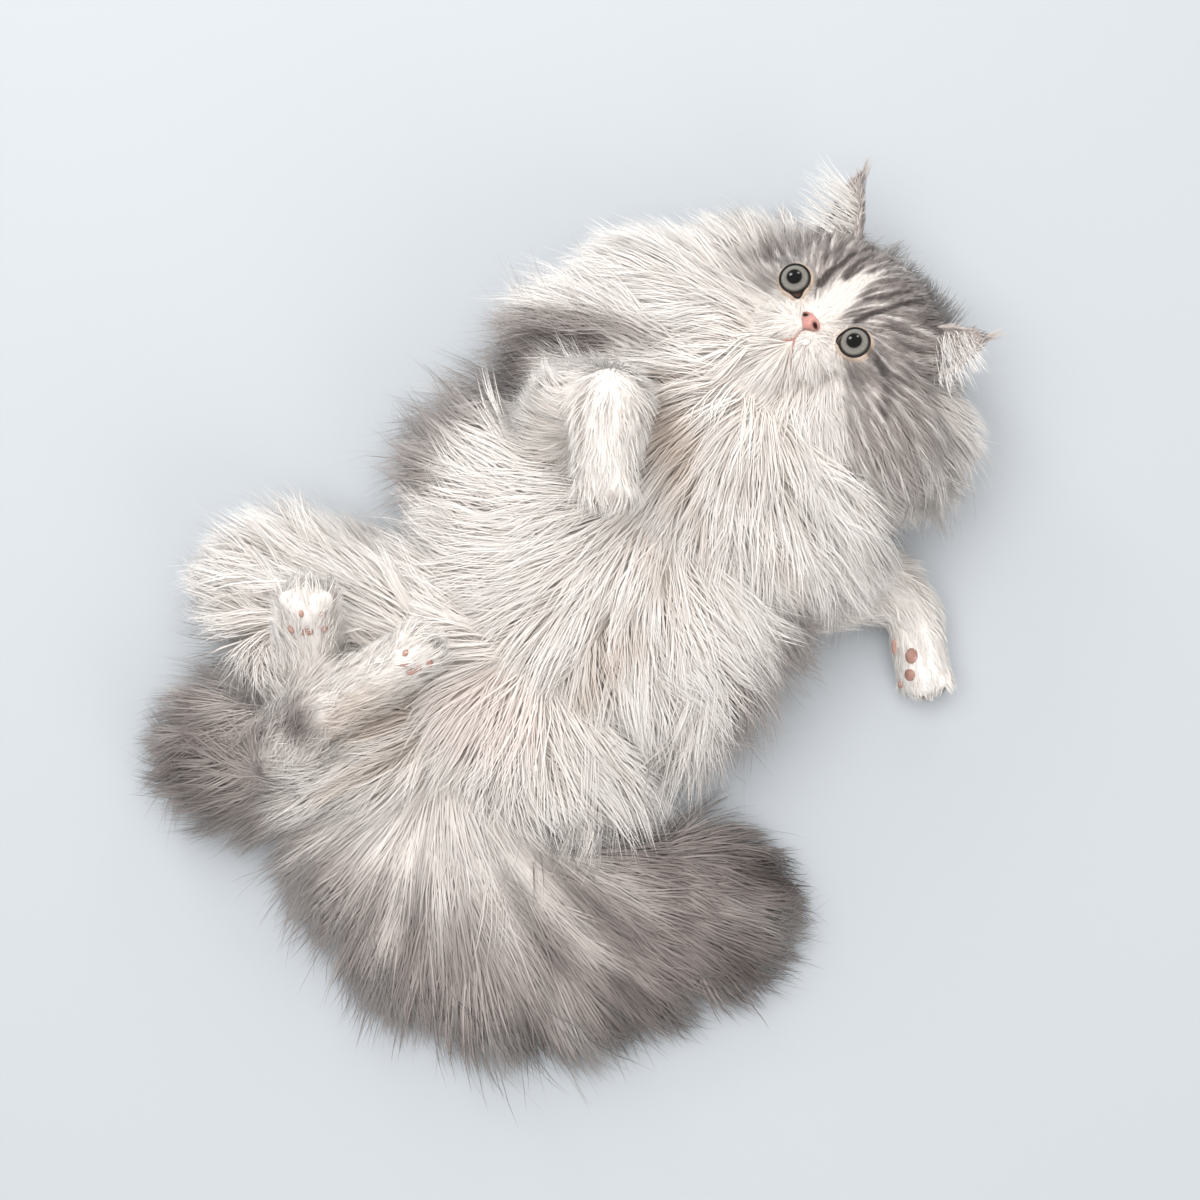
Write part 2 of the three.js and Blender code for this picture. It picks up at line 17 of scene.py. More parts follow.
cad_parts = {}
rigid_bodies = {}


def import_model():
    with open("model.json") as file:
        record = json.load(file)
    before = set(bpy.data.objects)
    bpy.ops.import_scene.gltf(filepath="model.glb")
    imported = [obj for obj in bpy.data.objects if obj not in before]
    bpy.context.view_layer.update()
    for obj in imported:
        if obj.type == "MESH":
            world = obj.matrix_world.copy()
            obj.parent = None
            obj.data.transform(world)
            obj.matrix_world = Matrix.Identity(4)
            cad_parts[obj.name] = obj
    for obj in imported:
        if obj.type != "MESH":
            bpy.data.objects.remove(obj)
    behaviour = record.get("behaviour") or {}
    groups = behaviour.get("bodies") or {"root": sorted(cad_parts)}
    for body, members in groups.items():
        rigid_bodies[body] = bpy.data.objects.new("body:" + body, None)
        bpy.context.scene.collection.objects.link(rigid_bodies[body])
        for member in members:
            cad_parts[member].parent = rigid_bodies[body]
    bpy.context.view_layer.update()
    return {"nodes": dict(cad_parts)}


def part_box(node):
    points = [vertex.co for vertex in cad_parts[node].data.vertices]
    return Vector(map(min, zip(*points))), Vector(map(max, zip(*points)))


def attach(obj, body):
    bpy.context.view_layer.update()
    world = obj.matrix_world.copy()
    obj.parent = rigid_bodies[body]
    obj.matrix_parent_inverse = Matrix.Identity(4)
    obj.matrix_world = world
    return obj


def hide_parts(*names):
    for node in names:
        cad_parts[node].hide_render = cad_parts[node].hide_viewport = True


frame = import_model()

# %% [markdown]
# ## Two small frames of reference
# A cat's head is easiest to shape along its own directions: x to the cat's left, y to its
# crown and z out of its face. The trunk has its own frame too: x to the head, y to the
# cat's right and z up out of its belly. The middle of the left eye's solid tells how far
# the whole model was moved to put its origin under its middle.

# %% Frames of head and trunk


def turn(yaw, roll):
    cy, sy = math.cos(math.radians(yaw)), math.sin(math.radians(yaw))
    cr, sr = math.cos(math.radians(roll)), math.sin(math.radians(roll))
    about_z = np.array([[cr, -sr, 0], [sr, cr, 0], [0, 0, 1]])
    about_y = np.array([[cy, 0, sy], [0, 1, 0], [-sy, 0, cy]])
    return about_z @ about_y


class Place:
    """A frame of reference with its own middle and turn, in millimetres."""

    def __init__(self, at, yaw=0.0, roll=0.0):
        self.at = np.array(at, float)
        self.axes = turn(yaw, roll)

    def out(self, *local):
        return np.array(local, float) @ self.axes.T + self.at

    def aim(self, ways):
        return np.asarray(ways, float) @ self.axes.T

    def into(self, points):
        return (points - self.at) @ self.axes


HEAD = Place((113, 143.5, 100), -16, -50)
TRUNK = Place((7.5, 25, 0), 0, 50)
LEVEL = Place((0, 0, 0))
# the eyes in the head's frame: distance from the midline, radius, height of the middle
EYE_SIDE = 23.25
EYE_RADIUS = 10.5
EYE_DEEP = -5.6
# the middle of the face lies this far under the line of the eyes
FACE_DROP = 8
NOSE_AT = np.array([0.0, -9.3, 2.6])

low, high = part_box("eye_left")
SHIFT = np.array(low + high) * 500 - HEAD.out(EYE_SIDE, 0, EYE_DEEP)
print("moved by", SHIFT.round(2), "mm")


def metres(points):
    """Millimetres of this lesson as metres of the shared frame."""
    return (np.asarray(points, float) + SHIFT) / 1000


def soft(values, start, end):
    """0 before start, 1 after end, and smooth between them."""
    t = np.clip((values - start) / (end - start), 0, 1)
    return t * t * (3 - 2 * t)


def unit(ways):
    return ways / np.maximum(np.linalg.norm(ways, axis=-1, keepdims=True), 1e-9)


# %% [markdown]
# ## The forms of the body
# The real cat under its coat is a row of soft egg shapes with limb bones between them.
# The same eggs and bones serve three times: they are the primitives that the skin is made
# of, they tell which part of the cat a point belongs to, and so they choose how long the
# coat is there and which way it lies.

# %% Eggs and bones, part by part
LEG_RADII = (21, 18, 15.5)
LEGS = {
    "foreleg_left": [(88, 2, 38), (150, 10, 20), (166, -4, 17)],
    "foreleg_right": [(-18, 84, 84), (-13, 95, 116), (2, 95, 142)],
    "hindleg_left": [(-162, -76, 50), (-142, -57, 80), (-110, -40, 98)],
    "hindleg_right": [(-166, -30, 46), (-150, -42, 60), (-147, -20, 86)],
}
# paw: wrist, toes, direction of the sole, width of the toes, radius of the wrist
PAWS = {
    "forepaw_left": ((166, -4, 17), (172, -36, 15), (-0.5, 0, 1), 19, 15.5),
    "forepaw_right": ((5, 93, 146), (3, 56, 142), (0, 0, -1), 18, 19),
    "hindpaw_left": ((-110, -40, 98), (-94, -29, 110), (0.2, -0.4, 1), 16, 15.5),
    "hindpaw_right": ((-147, -20, 86), (-146, -5, 102), (0, -0.5, 1), 17, 15.5),
}
THIGHS = {
    "thigh_left": ((-100, -62, 36), (-180, -76, 26), 27),
    "thigh_right": ((-104, -20, 40), (-156, -4, 34), 31),
}
TAIL_POINTS = np.array(
    [(-86, -84, 22), (-84, -124, 20), (-54, -156, 18), (-8, -166, 16), (48, -156, 14)], float
)


def along_tail(t):
    """Point of a smooth curve through the bone of the tail, t from 0 to 1."""
    t = np.clip(np.asarray(t, float), 0, 1) * (len(TAIL_POINTS) - 1)
    i = np.minimum(t.astype(int), len(TAIL_POINTS) - 2)
    u = (t - i)[..., None]
    before, after = 2 * TAIL_POINTS[0] - TAIL_POINTS[1], 2 * TAIL_POINTS[-1] - TAIL_POINTS[-2]
    ends = np.vstack([before, TAIL_POINTS, after])
    a, b, c, d = (ends[i + k] for k in range(4))
    return 0.5 * (2 * b + (c - a) * u + (2 * a - 5 * b + 4 * c - d) * u**2 + (3 * b - a - 3 * c + d) * u**3)


EGGS = {
    "head": [
        (HEAD, (0, 8, -46), (50, 44, 46)),
        (HEAD, (36, -15, -46), (36, 34, 36)),
        (HEAD, (-36, -15, -46), (36, 34, 36)),
        (HEAD, (17, 13, -16), (18, 14, 16)),
        (HEAD, (-17, 13, -16), (18, 14, 16)),
        (HEAD, (EYE_SIDE, -2, -15), (17, 15, 14)),
        (HEAD, (-EYE_SIDE, -2, -15), (17, 15, 14)),
    ],
    "muzzle": [
        (HEAD, (9.5, -16, -5.5), (11.5, 10, 10.5)),
        (HEAD, (-9.5, -16, -5.5), (11.5, 10, 10.5)),
        (HEAD, (0, -28.5, -11), (9.5, 9, 11)),
        (HEAD, (0, -3, -6), (7, 9, 9)),
    ],
    "neck": [(TRUNK, (118, 0, 48), (40, 84, 50)), (HEAD, (0, -10, -62), (76, 54, 34))],
    "trunk": [
        (TRUNK, (76, 0, 54), (56, 86, 56)),
        (TRUNK, (0, 0, 48), (72, 87, 50)),
        (TRUNK, (-90, 2, 36), (46, 74, 38)),
    ],
    "tail": [
        (LEVEL, tuple(along_tail(t)), (50 - 14 * t, 50 - 14 * t, 19 - 4 * t))
        for t in (0, 0.17, 0.33, 0.5, 0.67, 0.83, 1)
    ],
}
BONES = {name: (points, LEG_RADII) for name, points in LEGS.items()}
for name, (hip, knee, radius) in THIGHS.items():
    BONES[name] = ([hip, knee], (radius, radius * 1.1))


def paw_eggs(start, end, sole, width):
    """The palm of a paw and its four toes in an arc."""
    start, end, sole = (np.array(v, float) for v in (start, end, sole))
    ahead = unit(end - start)
    across = unit(np.cross(ahead, sole))
    toes = []
    for n in (-1.5, -0.5, 0.5, 1.5):
        toes.append(end + ahead * (9 - abs(n) * 2.6) + across * (n * width / 2.6))
    return ahead, across, unit(np.cross(across, ahead)), toes


for name, (start, end, sole, width, wrist) in PAWS.items():
    toes = paw_eggs(start, end, sole, width)[3]
    BONES[name] = ([start, end], (wrist, width * 0.86))
    EGGS[name] = [(LEVEL, tuple(toe), (6.6, 6.6, 6.2)) for toe in toes]

PARTS = sorted(set(EGGS) | set(BONES))
print(len(PARTS), "parts of the body:", ", ".join(PARTS))

# %% [markdown]
# ## How far a point is from each part
# To comb the coat, each point of the skin has to know its part. The distance to an egg is
# close enough when it is measured along the egg's own radii, and the distance to a bone is
# that of a capsule. Near a joint the parts share a point, so that the coat turns smoothly.

# %% Distances


def far_from_egg(points, place, at, size):
    inside = place.into(points) - np.array(at, float)
    near = np.linalg.norm(inside / size, axis=-1)
    slope = np.linalg.norm(inside / np.square(size), axis=-1)
    return near * (near - 1) / np.maximum(slope, 1e-9)


def far_from_bone(points, start, end, r1, r2):
    start, end = np.array(start, float), np.array(end, float)
    way = end - start
    t = np.clip((points - start) @ way / (way @ way), 0, 1)
    return np.linalg.norm(points - start - t[:, None] * way, axis=-1) - (r1 + (r2 - r1) * t)


def far_from_part(points, part):
    found = [far_from_egg(points, *egg) for egg in EGGS.get(part, [])]
    joints, radii = BONES.get(part, ([], ()))
    for i in range(len(joints) - 1):
        found.append(far_from_bone(points, joints[i], joints[i + 1], radii[i], radii[i + 1]))
    return np.min(found, axis=0)


def shares(points, width=5.0):
    """How much of each part a point has, one column for each of PARTS, adding up to 1."""
    far = np.stack([far_from_part(points, part) for part in PARTS], axis=1)
    weight = np.exp(-(far - far.min(axis=1, keepdims=True)) / width)
    return weight / weight.sum(axis=1, keepdims=True)


print("under the middle of the belly:", PARTS[shares(TRUNK.at[None])[0].argmax()])

# %% [markdown]
# ## The skin
# Skin lies over a cat's muscles as one smooth surface without seams. A UV sphere stands
# for each egg and cones with spheres at their ends for each bone. They are joined, and a
# Remesh modifier turns the heap into one even closed mesh. A Smooth modifier then melts
# the creases where two forms meet. Metaballs would melt together too, but their sizes are
# harder to foresee. The eggs are made a little smaller than the solids, because the coat
# has its own depth over the skin.

# %% Primitives for the skin
SKIN_DEPTH = {"head": 2.0, "muzzle": 1.2, "neck": 5.0, "trunk": 5.0, "tail": 3.0}
TOE_DEPTH = 1.0
LIMB_DEPTH = 2.5
LEAST_RADIUS = 2
VOXEL = 0.003


def deselect():
    """Deselect all, so that the next primitive is the only thing selected."""
    bpy.ops.object.select_all(action="DESELECT")


def pick(piece):
    """Make a piece the active one and the only one selected."""
    deselect()
    piece.select_set(True)
    bpy.context.view_layer.objects.active = piece


def matrix(axes, at, size):
    """The transform that gives a primitive its axes, place and size in millimetres."""
    grid = Matrix([list(row) for row in np.asarray(axes, float)]).to_4x4()
    return Matrix.Translation(metres(at)) @ grid @ Matrix.Diagonal((*(v / 1000 for v in size), 1))


def add_sphere(axes, at, size, segments, rings):
    deselect()
    bpy.ops.mesh.primitive_uv_sphere_add(segments=segments, ring_count=rings, radius=1)
    ball = bpy.context.object
    ball.data.transform(matrix(axes, at, size))
    return ball


def add_ball(place, at, size, segments=48, rings=24):
    return add_sphere(place.axes, place.out(*at), size, segments, rings)


def add_bone(start, end, r1, r2):
    """A cone from start to end, and a sphere at each end."""
    deselect()
    start, end = np.array(start, float), np.array(end, float)
    way = Vector(end - start)
    bpy.ops.mesh.primitive_cone_add(vertices=32, radius1=r1, radius2=r2, depth=way.length)
    bone = bpy.context.object
    axes = np.array(way.to_track_quat("Z", "Y").to_matrix())
    bone.data.transform(matrix(axes, (start + end) / 2, (1, 1, 1)))
    ends = [add_ball(LEVEL, p, (r, r, r), 32, 16) for p, r in ((start, r1), (end, r2))]
    return [bone, *ends]


def join(pieces, name):
    deselect()
    for piece in pieces:
        piece.select_set(True)
    bpy.context.view_layer.objects.active = pieces[0]
    bpy.ops.object.join()
    whole = bpy.context.object
    whole.name = name
    whole.data.name = name
    return whole


def apply(piece, kind, **settings):
    """Add one modifier to a piece, set it and apply it."""
    pick(piece)
    modifier = piece.modifiers.new(kind.title(), kind)
    for key, value in settings.items():
        setattr(modifier, key, value)
    bpy.ops.object.modifier_apply(modifier=modifier.name)


heap = []
for part, eggs in EGGS.items():
    depth = SKIN_DEPTH.get(part, TOE_DEPTH)
    for place, at, size in eggs:
        heap.append(add_ball(place, at, [max(r - depth, LEAST_RADIUS) for r in size]))
for part, (joints, radii) in BONES.items():
    for i in range(len(joints) - 1):
        heap += add_bone(joints[i], joints[i + 1], radii[i] - LIMB_DEPTH, radii[i + 1] - LIMB_DEPTH)
print(len(heap), "primitives")

# %% Join, remesh and smooth
skin = join(heap, "skin")
apply(skin, "REMESH", mode="VOXEL", voxel_size=VOXEL, adaptivity=0)
apply(skin, "SMOOTH", factor=0.5, iterations=10)
print("skin:", len(skin.data.vertices), "vertices")

# %% [markdown]
# ## A finer face
# Lids and lips are only a few millimetres wide, so the face needs more vertices than the
# back. A finer remesh of the whole skin would give them too, but would make it sixteen
# times as heavy. So its faces are selected by their place and subdivided, once over the whole
# face and once more round the eyes, nose and mouth.

# %% Subdivide the face


def vertices_of(piece):
    co = np.empty(len(piece.data.vertices) * 3)
    piece.data.vertices.foreach_get("co", co)
    return co.reshape(-1, 3) * 1000 - SHIFT


def set_vertices(piece, points):
    piece.data.vertices.foreach_set("co", metres(points).ravel())
    piece.data.update()


def normals_of(piece):
    ways = np.empty(len(piece.data.vertices) * 3)
    piece.data.vertices.foreach_get("normal", ways)
    return ways.reshape(-1, 3)


def select_faces(piece, wanted):
    """Select the faces whose middle is wanted, and go to edit mode."""
    middles = np.empty(len(piece.data.polygons) * 3)
    piece.data.polygons.foreach_get("center", middles)
    chosen = wanted(middles.reshape(-1, 3) * 1000 - SHIFT)
    pick(piece)
    for kind in (piece.data.vertices, piece.data.edges):
        kind.foreach_set("select", np.zeros(len(kind), bool))
    piece.data.polygons.foreach_set("select", chosen)
    bpy.ops.object.mode_set(mode="EDIT")
    bpy.ops.mesh.select_mode(type="FACE")


def near_face(across, tall, deepest):
    """A test for points in an oval of the face, no deeper than given."""

    def wanted(points):
        x, y, z = HEAD.into(points).T
        return (np.hypot(x / across, (y + FACE_DROP) / tall) < 1) & (z > deepest)

    return wanted


for wanted in (near_face(52, 42, -30), near_face(37, 30, -20)):
    select_faces(skin, wanted)
    bpy.ops.mesh.subdivide(number_cuts=1, smoothness=1.0)
    bpy.ops.object.mode_set(mode="OBJECT")
print("skin with its finer face:", len(skin.data.vertices), "vertices")

# %% [markdown]
# ## Lids, mouth and nose bed
# The lids of a cat fit the eyeball closely and run to a point at the inner corner. The
# vertices round each eye are lifted to just above the ball and fall away smoothly further
# out. The line of the mouth is an upside-down Y: down from the nose, then out to both
# sides. Vertices near that line are pressed in. Sculpt brushes would do the same by hand,
# but moves by formula come out alike on both sides and on every run.

# %% Outlines of the eyes and mouth
OPENING = 7.8
# the inner corner goes out further by this share, in this direction and over this angle
CORNER_REACH = 0.24
CORNER_TURN = math.radians(-148)
CORNER_SPREAD = 0.32
MOUTH = np.array([(0, -20.5), (2.6, -23.5), (5.4, -27.5), (8, -32), (11.5, -36.5), (15, -39.5)])
PHILTRUM = np.array([(0, -12.5), (0, -20.5)])


def opening_at(angle):
    """Radius of the eye's opening in one direction."""
    off = np.angle(np.exp(1j * (angle - CORNER_TURN)))
    return OPENING * (1 + CORNER_REACH * np.exp(-((off / CORNER_SPREAD) ** 2)))


def around_eye(points, side):
    """Radius as a share of the eye's opening, the radius, and height over the eye's middle."""
    x, y, z = HEAD.into(points).T
    x = (x - side * EYE_SIDE) * side
    return np.hypot(x, y) / opening_at(np.arctan2(y, x)), np.hypot(x, y), z - EYE_DEEP


def far_from_line(x, y, line):
    """Distance from a line of straight stretches, in two dimensions."""
    best = np.full(x.shape, 1e9)
    for (ax, ay), (bx, by) in zip(line[:-1], line[1:]):
        wx, wy = bx - ax, by - ay
        t = np.clip(((x - ax) * wx + (y - ay) * wy) / (wx * wx + wy * wy), 0, 1)
        best = np.minimum(best, np.hypot(x - ax - t * wx, y - ay - t * wy))
    return best


def from_mouth(points):
    """Distance from the line of the mouth, seen from the front of the face."""
    x, y, _ = HEAD.into(points).T
    return np.minimum(far_from_line(np.abs(x), y, MOUTH), far_from_line(x, y, PHILTRUM))


print("mouth", MOUTH[-1, 0] * 2, "mm wide")

# %% Sculpt the face
LID_RISE = 1.0
BALL_CLEAR = 3
LIP_DEPTH, LIP_WIDTH = 2.2, 1.2
NOSE_BED_DEPTH, NOSE_BED_RADII = 1.5, (5.4, 3.6)
FACE_RADIUS = 60
SKIN_OVER_FLOOR = 0.2

points = vertices_of(skin)
face = HEAD.into(points)
front = soft(face[:, 2], -34, -26) * (np.hypot(face[:, 0], face[:, 1] + FACE_DROP) < FACE_RADIUS)
lifted = np.zeros(len(points))
for side in (1, -1):
    share, radius, height = around_eye(points, side)
    ball = np.sqrt(np.clip(EYE_RADIUS**2 - radius**2, 4, None))
    on_lid = (1 - soft(share, 1.12, 1.75)) * soft(share, 0.9, 0.99)
    lifted += np.where(front > 0, (ball + LID_RISE - height) * on_lid, 0)
    in_socket = 1 - soft(share, 0.84, 0.95)
    lifted += np.where(front > 0, np.minimum(ball - BALL_CLEAR - height, 0) * in_socket, 0)
lifted -= front * LIP_DEPTH * np.exp(-((from_mouth(points) / LIP_WIDTH) ** 2))
nose_bed = np.hypot(face[:, 0] / NOSE_BED_RADII[0], (face[:, 1] - NOSE_AT[1]) / NOSE_BED_RADII[1])
lifted -= front * NOSE_BED_DEPTH * (1 - soft(nose_bed, 0.6, 1.1))
face[:, 2] += lifted
points = face @ HEAD.axes.T + HEAD.at
points[:, 2] = np.maximum(points[:, 2], SKIN_OVER_FLOOR)
set_vertices(skin, points)
skin.data.shade_smooth()
print("moved", int((np.abs(lifted) > 0.05).sum()), "vertices of the face")

# %% [markdown]
# ## Ears
# A Persian's ears are small, round-tipped and set far apart. Each starts as a grid, whose
# vertices are rolled into a cup that narrows to the tip. A Solidify modifier gives it the
# thickness of a real ear. A cone cut open would serve too, but a grid rolls without a
# seam. The lower end is sunk in the head, under the coat.

# %% Ears
EARS = {
    "left": ((38, 32, -44), (57, 57, -28), (0.25, 0.1, 1)),
    "right": ((-38, 34, -44), (-50, 67, -16), (-0.4, 0, 1)),
}
EAR_HALF_WIDTH = 13.5
EAR_THICK = 0.0016
EAR_EDGE = 0.6
EAR_ROLL = math.radians(105)
EAR_SUNK = 3


def ear_half_width(v):
    """Half the width of an ear, from its base at v 0 to its tip at v 1."""
    return EAR_HALF_WIDTH * (1 - v**1.7) ** 0.75


def ear_axes(base, tip, opening):
    """Base, way to the tip, way out of the cup, way across it, and height."""
    base, tip = HEAD.out(*base), HEAD.out(*tip)
    axis = unit(tip - base)
    front = HEAD.aim(opening)
    front = unit(front - axis * (front @ axis))
    return base, axis, front, np.cross(axis, front), np.linalg.norm(tip - base)


def face_outwards(piece):
    """Turn all normals out of a closed piece and shade it smooth."""
    pick(piece)
    bpy.ops.object.mode_set(mode="EDIT")
    bpy.ops.mesh.select_all(action="SELECT")
    bpy.ops.mesh.normals_make_consistent(inside=False)
    bpy.ops.object.mode_set(mode="OBJECT")
    piece.data.shade_smooth()


def add_ear(side):
    base, axis, front, across, tall = ear_axes(*EARS[side])
    deselect()
    bpy.ops.mesh.primitive_grid_add(x_subdivisions=20, y_subdivisions=20, size=2)
    ear = bpy.context.object
    grid = np.array([v.co[:] for v in ear.data.vertices])
    u, v = grid[:, 0], grid[:, 1] / 2 + 0.5
    narrow = ear_half_width(v) + EAR_EDGE
    roll = u * EAR_ROLL
    deep = narrow * (0.25 + 0.45 * (1 - v))
    points = (
        base
        + (v * tall * 1.02 - EAR_SUNK)[:, None] * axis
        + (narrow * np.sin(roll) * (1 - 0.05 * np.abs(u)))[:, None] * across
        + (-deep * np.cos(roll) + 2.5 * v**2)[:, None] * front
    )
    set_vertices(ear, points)
    apply(ear, "SOLIDIFY", thickness=EAR_THICK, offset=0)
    apply(ear, "SUBSURF", levels=1, render_levels=1)
    face_outwards(ear)
    return ear


ears = [add_ear(side) for side in EARS]
ear_faces = sum(len(ear.data.polygons) for ear in ears)
FIRST_EAR_VERTEX = len(skin.data.vertices)
skin = join([skin, *ears], "skin")
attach(skin, "root")
FLESH = [n for n in frame["nodes"] if not n.startswith("eye")]
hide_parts(*FLESH)
print("skin with ears:", len(skin.data.polygons), "faces, of which", ear_faces, "on the ears")

# %% [markdown]
# ## An unwrap of the skin
# Smart UV Project cuts the skin into islands by the slope of its faces. Seams drawn by
# hand would make tidier islands, but nobody paints on them here. Each tuft of the coat will
# take a tiny patch at the place of its root on this same unwrap.

# %% Unwrap
BAKE_MAP = "OFBake"
skin.data.uv_layers.new(name=BAKE_MAP)
pick(skin)
bpy.ops.object.mode_set(mode="EDIT")
bpy.ops.mesh.select_all(action="SELECT")
bpy.ops.uv.smart_project(angle_limit=math.radians(66), island_margin=0.001)
bpy.ops.object.mode_set(mode="OBJECT")
print("unwrapped onto", [layer.name for layer in skin.data.uv_layers])

# %% [markdown]
# ## Markings as soft patches
# The coat is white on the muzzle, blaze, chest, belly, legs and paws, and silver-grey on
# the crown, cheeks, flanks, back, breeches and tail. They could be painted on the unwrap,
# but each tuft would then show only the colour of its root. So each marking is a soft
# patch with a named place, size and turn, worked out from the shape of the body, and any
# point can ask for its colour. Cream patches in the creases and folds are painted shade,
# and the dark round the raised leg and at the heel is partly painted shadow. The skin and
# every tuft ask the same function.

# %% Grey, dark and warm patches
# name: middle, radii, turn about the upright axis, how much
GREY_PATCHES = {
    "right shoulder": ((-52, 122, 60), (30, 34, 70), 20, 0.95),
    "ring round the raised leg": ((-34, 108, 84), (17, 34, 50), 12, 1.0),
    "above the raised leg": ((-6, 130, 84), (50, 13, 50), -8, 0.9),
    "right flank": ((-88, 70, 50), (52, 26, 80), 38, 0.95),
    "between flank and thigh": ((-110, 34, 50), (17, 15, 70), 0, 0.6),
    "breeches": ((-214, -82, 30), (54, 70, 90), 12, 1.0),
    "heel": ((-151, -62, 50), (17, 19, 60), 0, 0.9),
    "left flank": ((82, -50, 40), (66, 26, 80), 66, 0.95),
    "end of the left flank": ((62, -80, 40), (36, 17, 80), 48, 0.8),
    "behind the raised leg": ((-64, 94, 60), (22, 20, 70), 30, 0.75),
    "left armpit": ((104, -16, 40), (20, 12, 70), 45, 0.55),
    "left shoulder": ((122, 28, 30), (32, 10, 60), -6, 0.5),
}
DARK_PATCHES = {
    # these three are partly dark fur and partly painted shadow round the raised leg
    "left of the raised leg": ((-35, 104, 84), (9, 26, 70), 10, 0.95),
    "over the raised leg": ((-13, 126, 84), (28, 7, 70), -8, 0.85),
    "right of the raised leg": ((38, 96, 84), (6, 22, 60), 14, 0.5),
    "right flank": ((-98, 74, 40), (48, 10, 70), 36, 0.4),
    "breeches": ((-222, -94, 20), (40, 46, 70), 20, 0.45),
    # partly dark fur and partly painted shadow at the heel
    "heel": ((-152, -64, 50), (10, 11, 50), 0, 0.7),
    "left flank": ((90, -58, 30), (58, 20, 70), 64, 0.6),
    "streak in the tail": ((22, -206, 20), (38, 7, 60), -36, 0.6),
    "end of the tail": ((96, -172, 20), (30, 50, 70), -10, 0.4),
    "edge of the tail": ((-20, -240, 20), (110, 22, 60), 6, 0.3),
}
# painted shade: cream in the creases and folds of the coat, beside the raised leg and on the hind leg
WARM_SHADE_PATCHES = {
    "beside the raised leg": ((42, 82, 80), (13, 34, 60), 12, 0.9),
    "hind leg": ((-112, -56, 80), (34, 15, 70), 24, 0.7),
    "crease by the tail": ((-108, -80, 50), (42, 6, 70), 30, 0.5),
    "belly crease": ((4, -18, 90), (34, 5, 40), 50, 0.7),
    "first fold of the chest": ((52, 42, 90), (26, 4, 50), -72, 0.55),
    "second fold of the chest": ((90, 20, 90), (22, 4, 50), -63, 0.5),
    "third fold of the chest": ((30, 18, 90), (20, 3.5, 50), -66, 0.5),
    "chest": ((72, 78, 90), (30, 24, 50), 50, 0.25),
}
# middle, radii and turn of the bare pink skin that shows through at the groin
GROIN = ((-52, -50, 80), (24, 17, 50), 0)
GROIN_PINK = 0.2
FULL_TURN = 6.28
WAVES = 5


def patch(points, middle, radii, angle):
    """1 inside an egg-shaped patch, 0 outside, and smooth at its edge."""
    local = (points - np.array(middle, float)) @ turn(0, angle)
    return 1 - soft(np.linalg.norm(local / np.array(radii, float), axis=-1), 0.72, 1.18)


def patches_at(points, patches, frayed):
    """The strongest of a table's patches at each point."""
    most = np.zeros(len(points))
    for middle, radii, angle, much in patches.values():
        here = patch(points, middle, radii, angle) * (1 + frayed) + frayed * 0.4
        most = np.maximum(most, much * np.clip(here, 0, 1))
    return most


def ripple(points, size, seed):
    """A soft repeatable waviness of about -1 to 1, to fray the edge of a marking."""
    draw = np.random.default_rng(seed)
    total = np.zeros(len(points))
    for _ in range(WAVES):
        way = unit(draw.normal(size=3)) / size
        total += np.sin(points @ way * FULL_TURN + draw.uniform(0, FULL_TURN))
    return total / (WAVES / 2)


print(len(GREY_PATCHES), "grey,", len(DARK_PATCHES), "dark and", len(WARM_SHADE_PATCHES), "warm patches")

# %% [markdown]
# ## Markings of the face
# Dark pencil stripes run up the forehead and back from the outer corner of each eye, and
# a white blaze parts them. Stripes could be long thin patches, but a line with a width
# follows the curve of the brow with fewer numbers. Both halves of the face share one table
# of lines, and the ripples keep them from being mirror images.

# %% Stripes, blaze and cheeks
# line in the head's frame, half width, how dark
FACE_STRIPES = [
    ([(13.8, 8.4), (15.2, 15), (16.6, 22.5), (18.6, 34), (19, 46)], 1.6, 1.0),
    ([(7.6, 20), (10, 25), (12.7, 31), (13, 42)], 1.4, 0.9),
    ([(4, 33), (5, 42), (4, 54)], 1.6, 0.55),
    ([(24, 14), (27, 26), (28, 42)], 1.6, 0.45),
    ([(29, 2.4), (36, 3.4), (43, 1.8), (50, -3), (54.5, -10)], 2.2, 0.8),
    ([(27, -8), (33, -11), (42, -14)], 4.2, 0.4),
    ([(44, 16), (52, 20), (60, 16)], 3.6, 0.4),
]
BLAZE_MIDDLE = -1.6
BLAZE_HEIGHTS, BLAZE_HALF_WIDTHS = [2, 15, 23, 34], [7.4, 5.8, 4.2, 0.6]
FACE_GREY = 0.09
BACK_OF_HEAD, BACK_GREY = -60, 0.8
TEAR_SIDE = 12


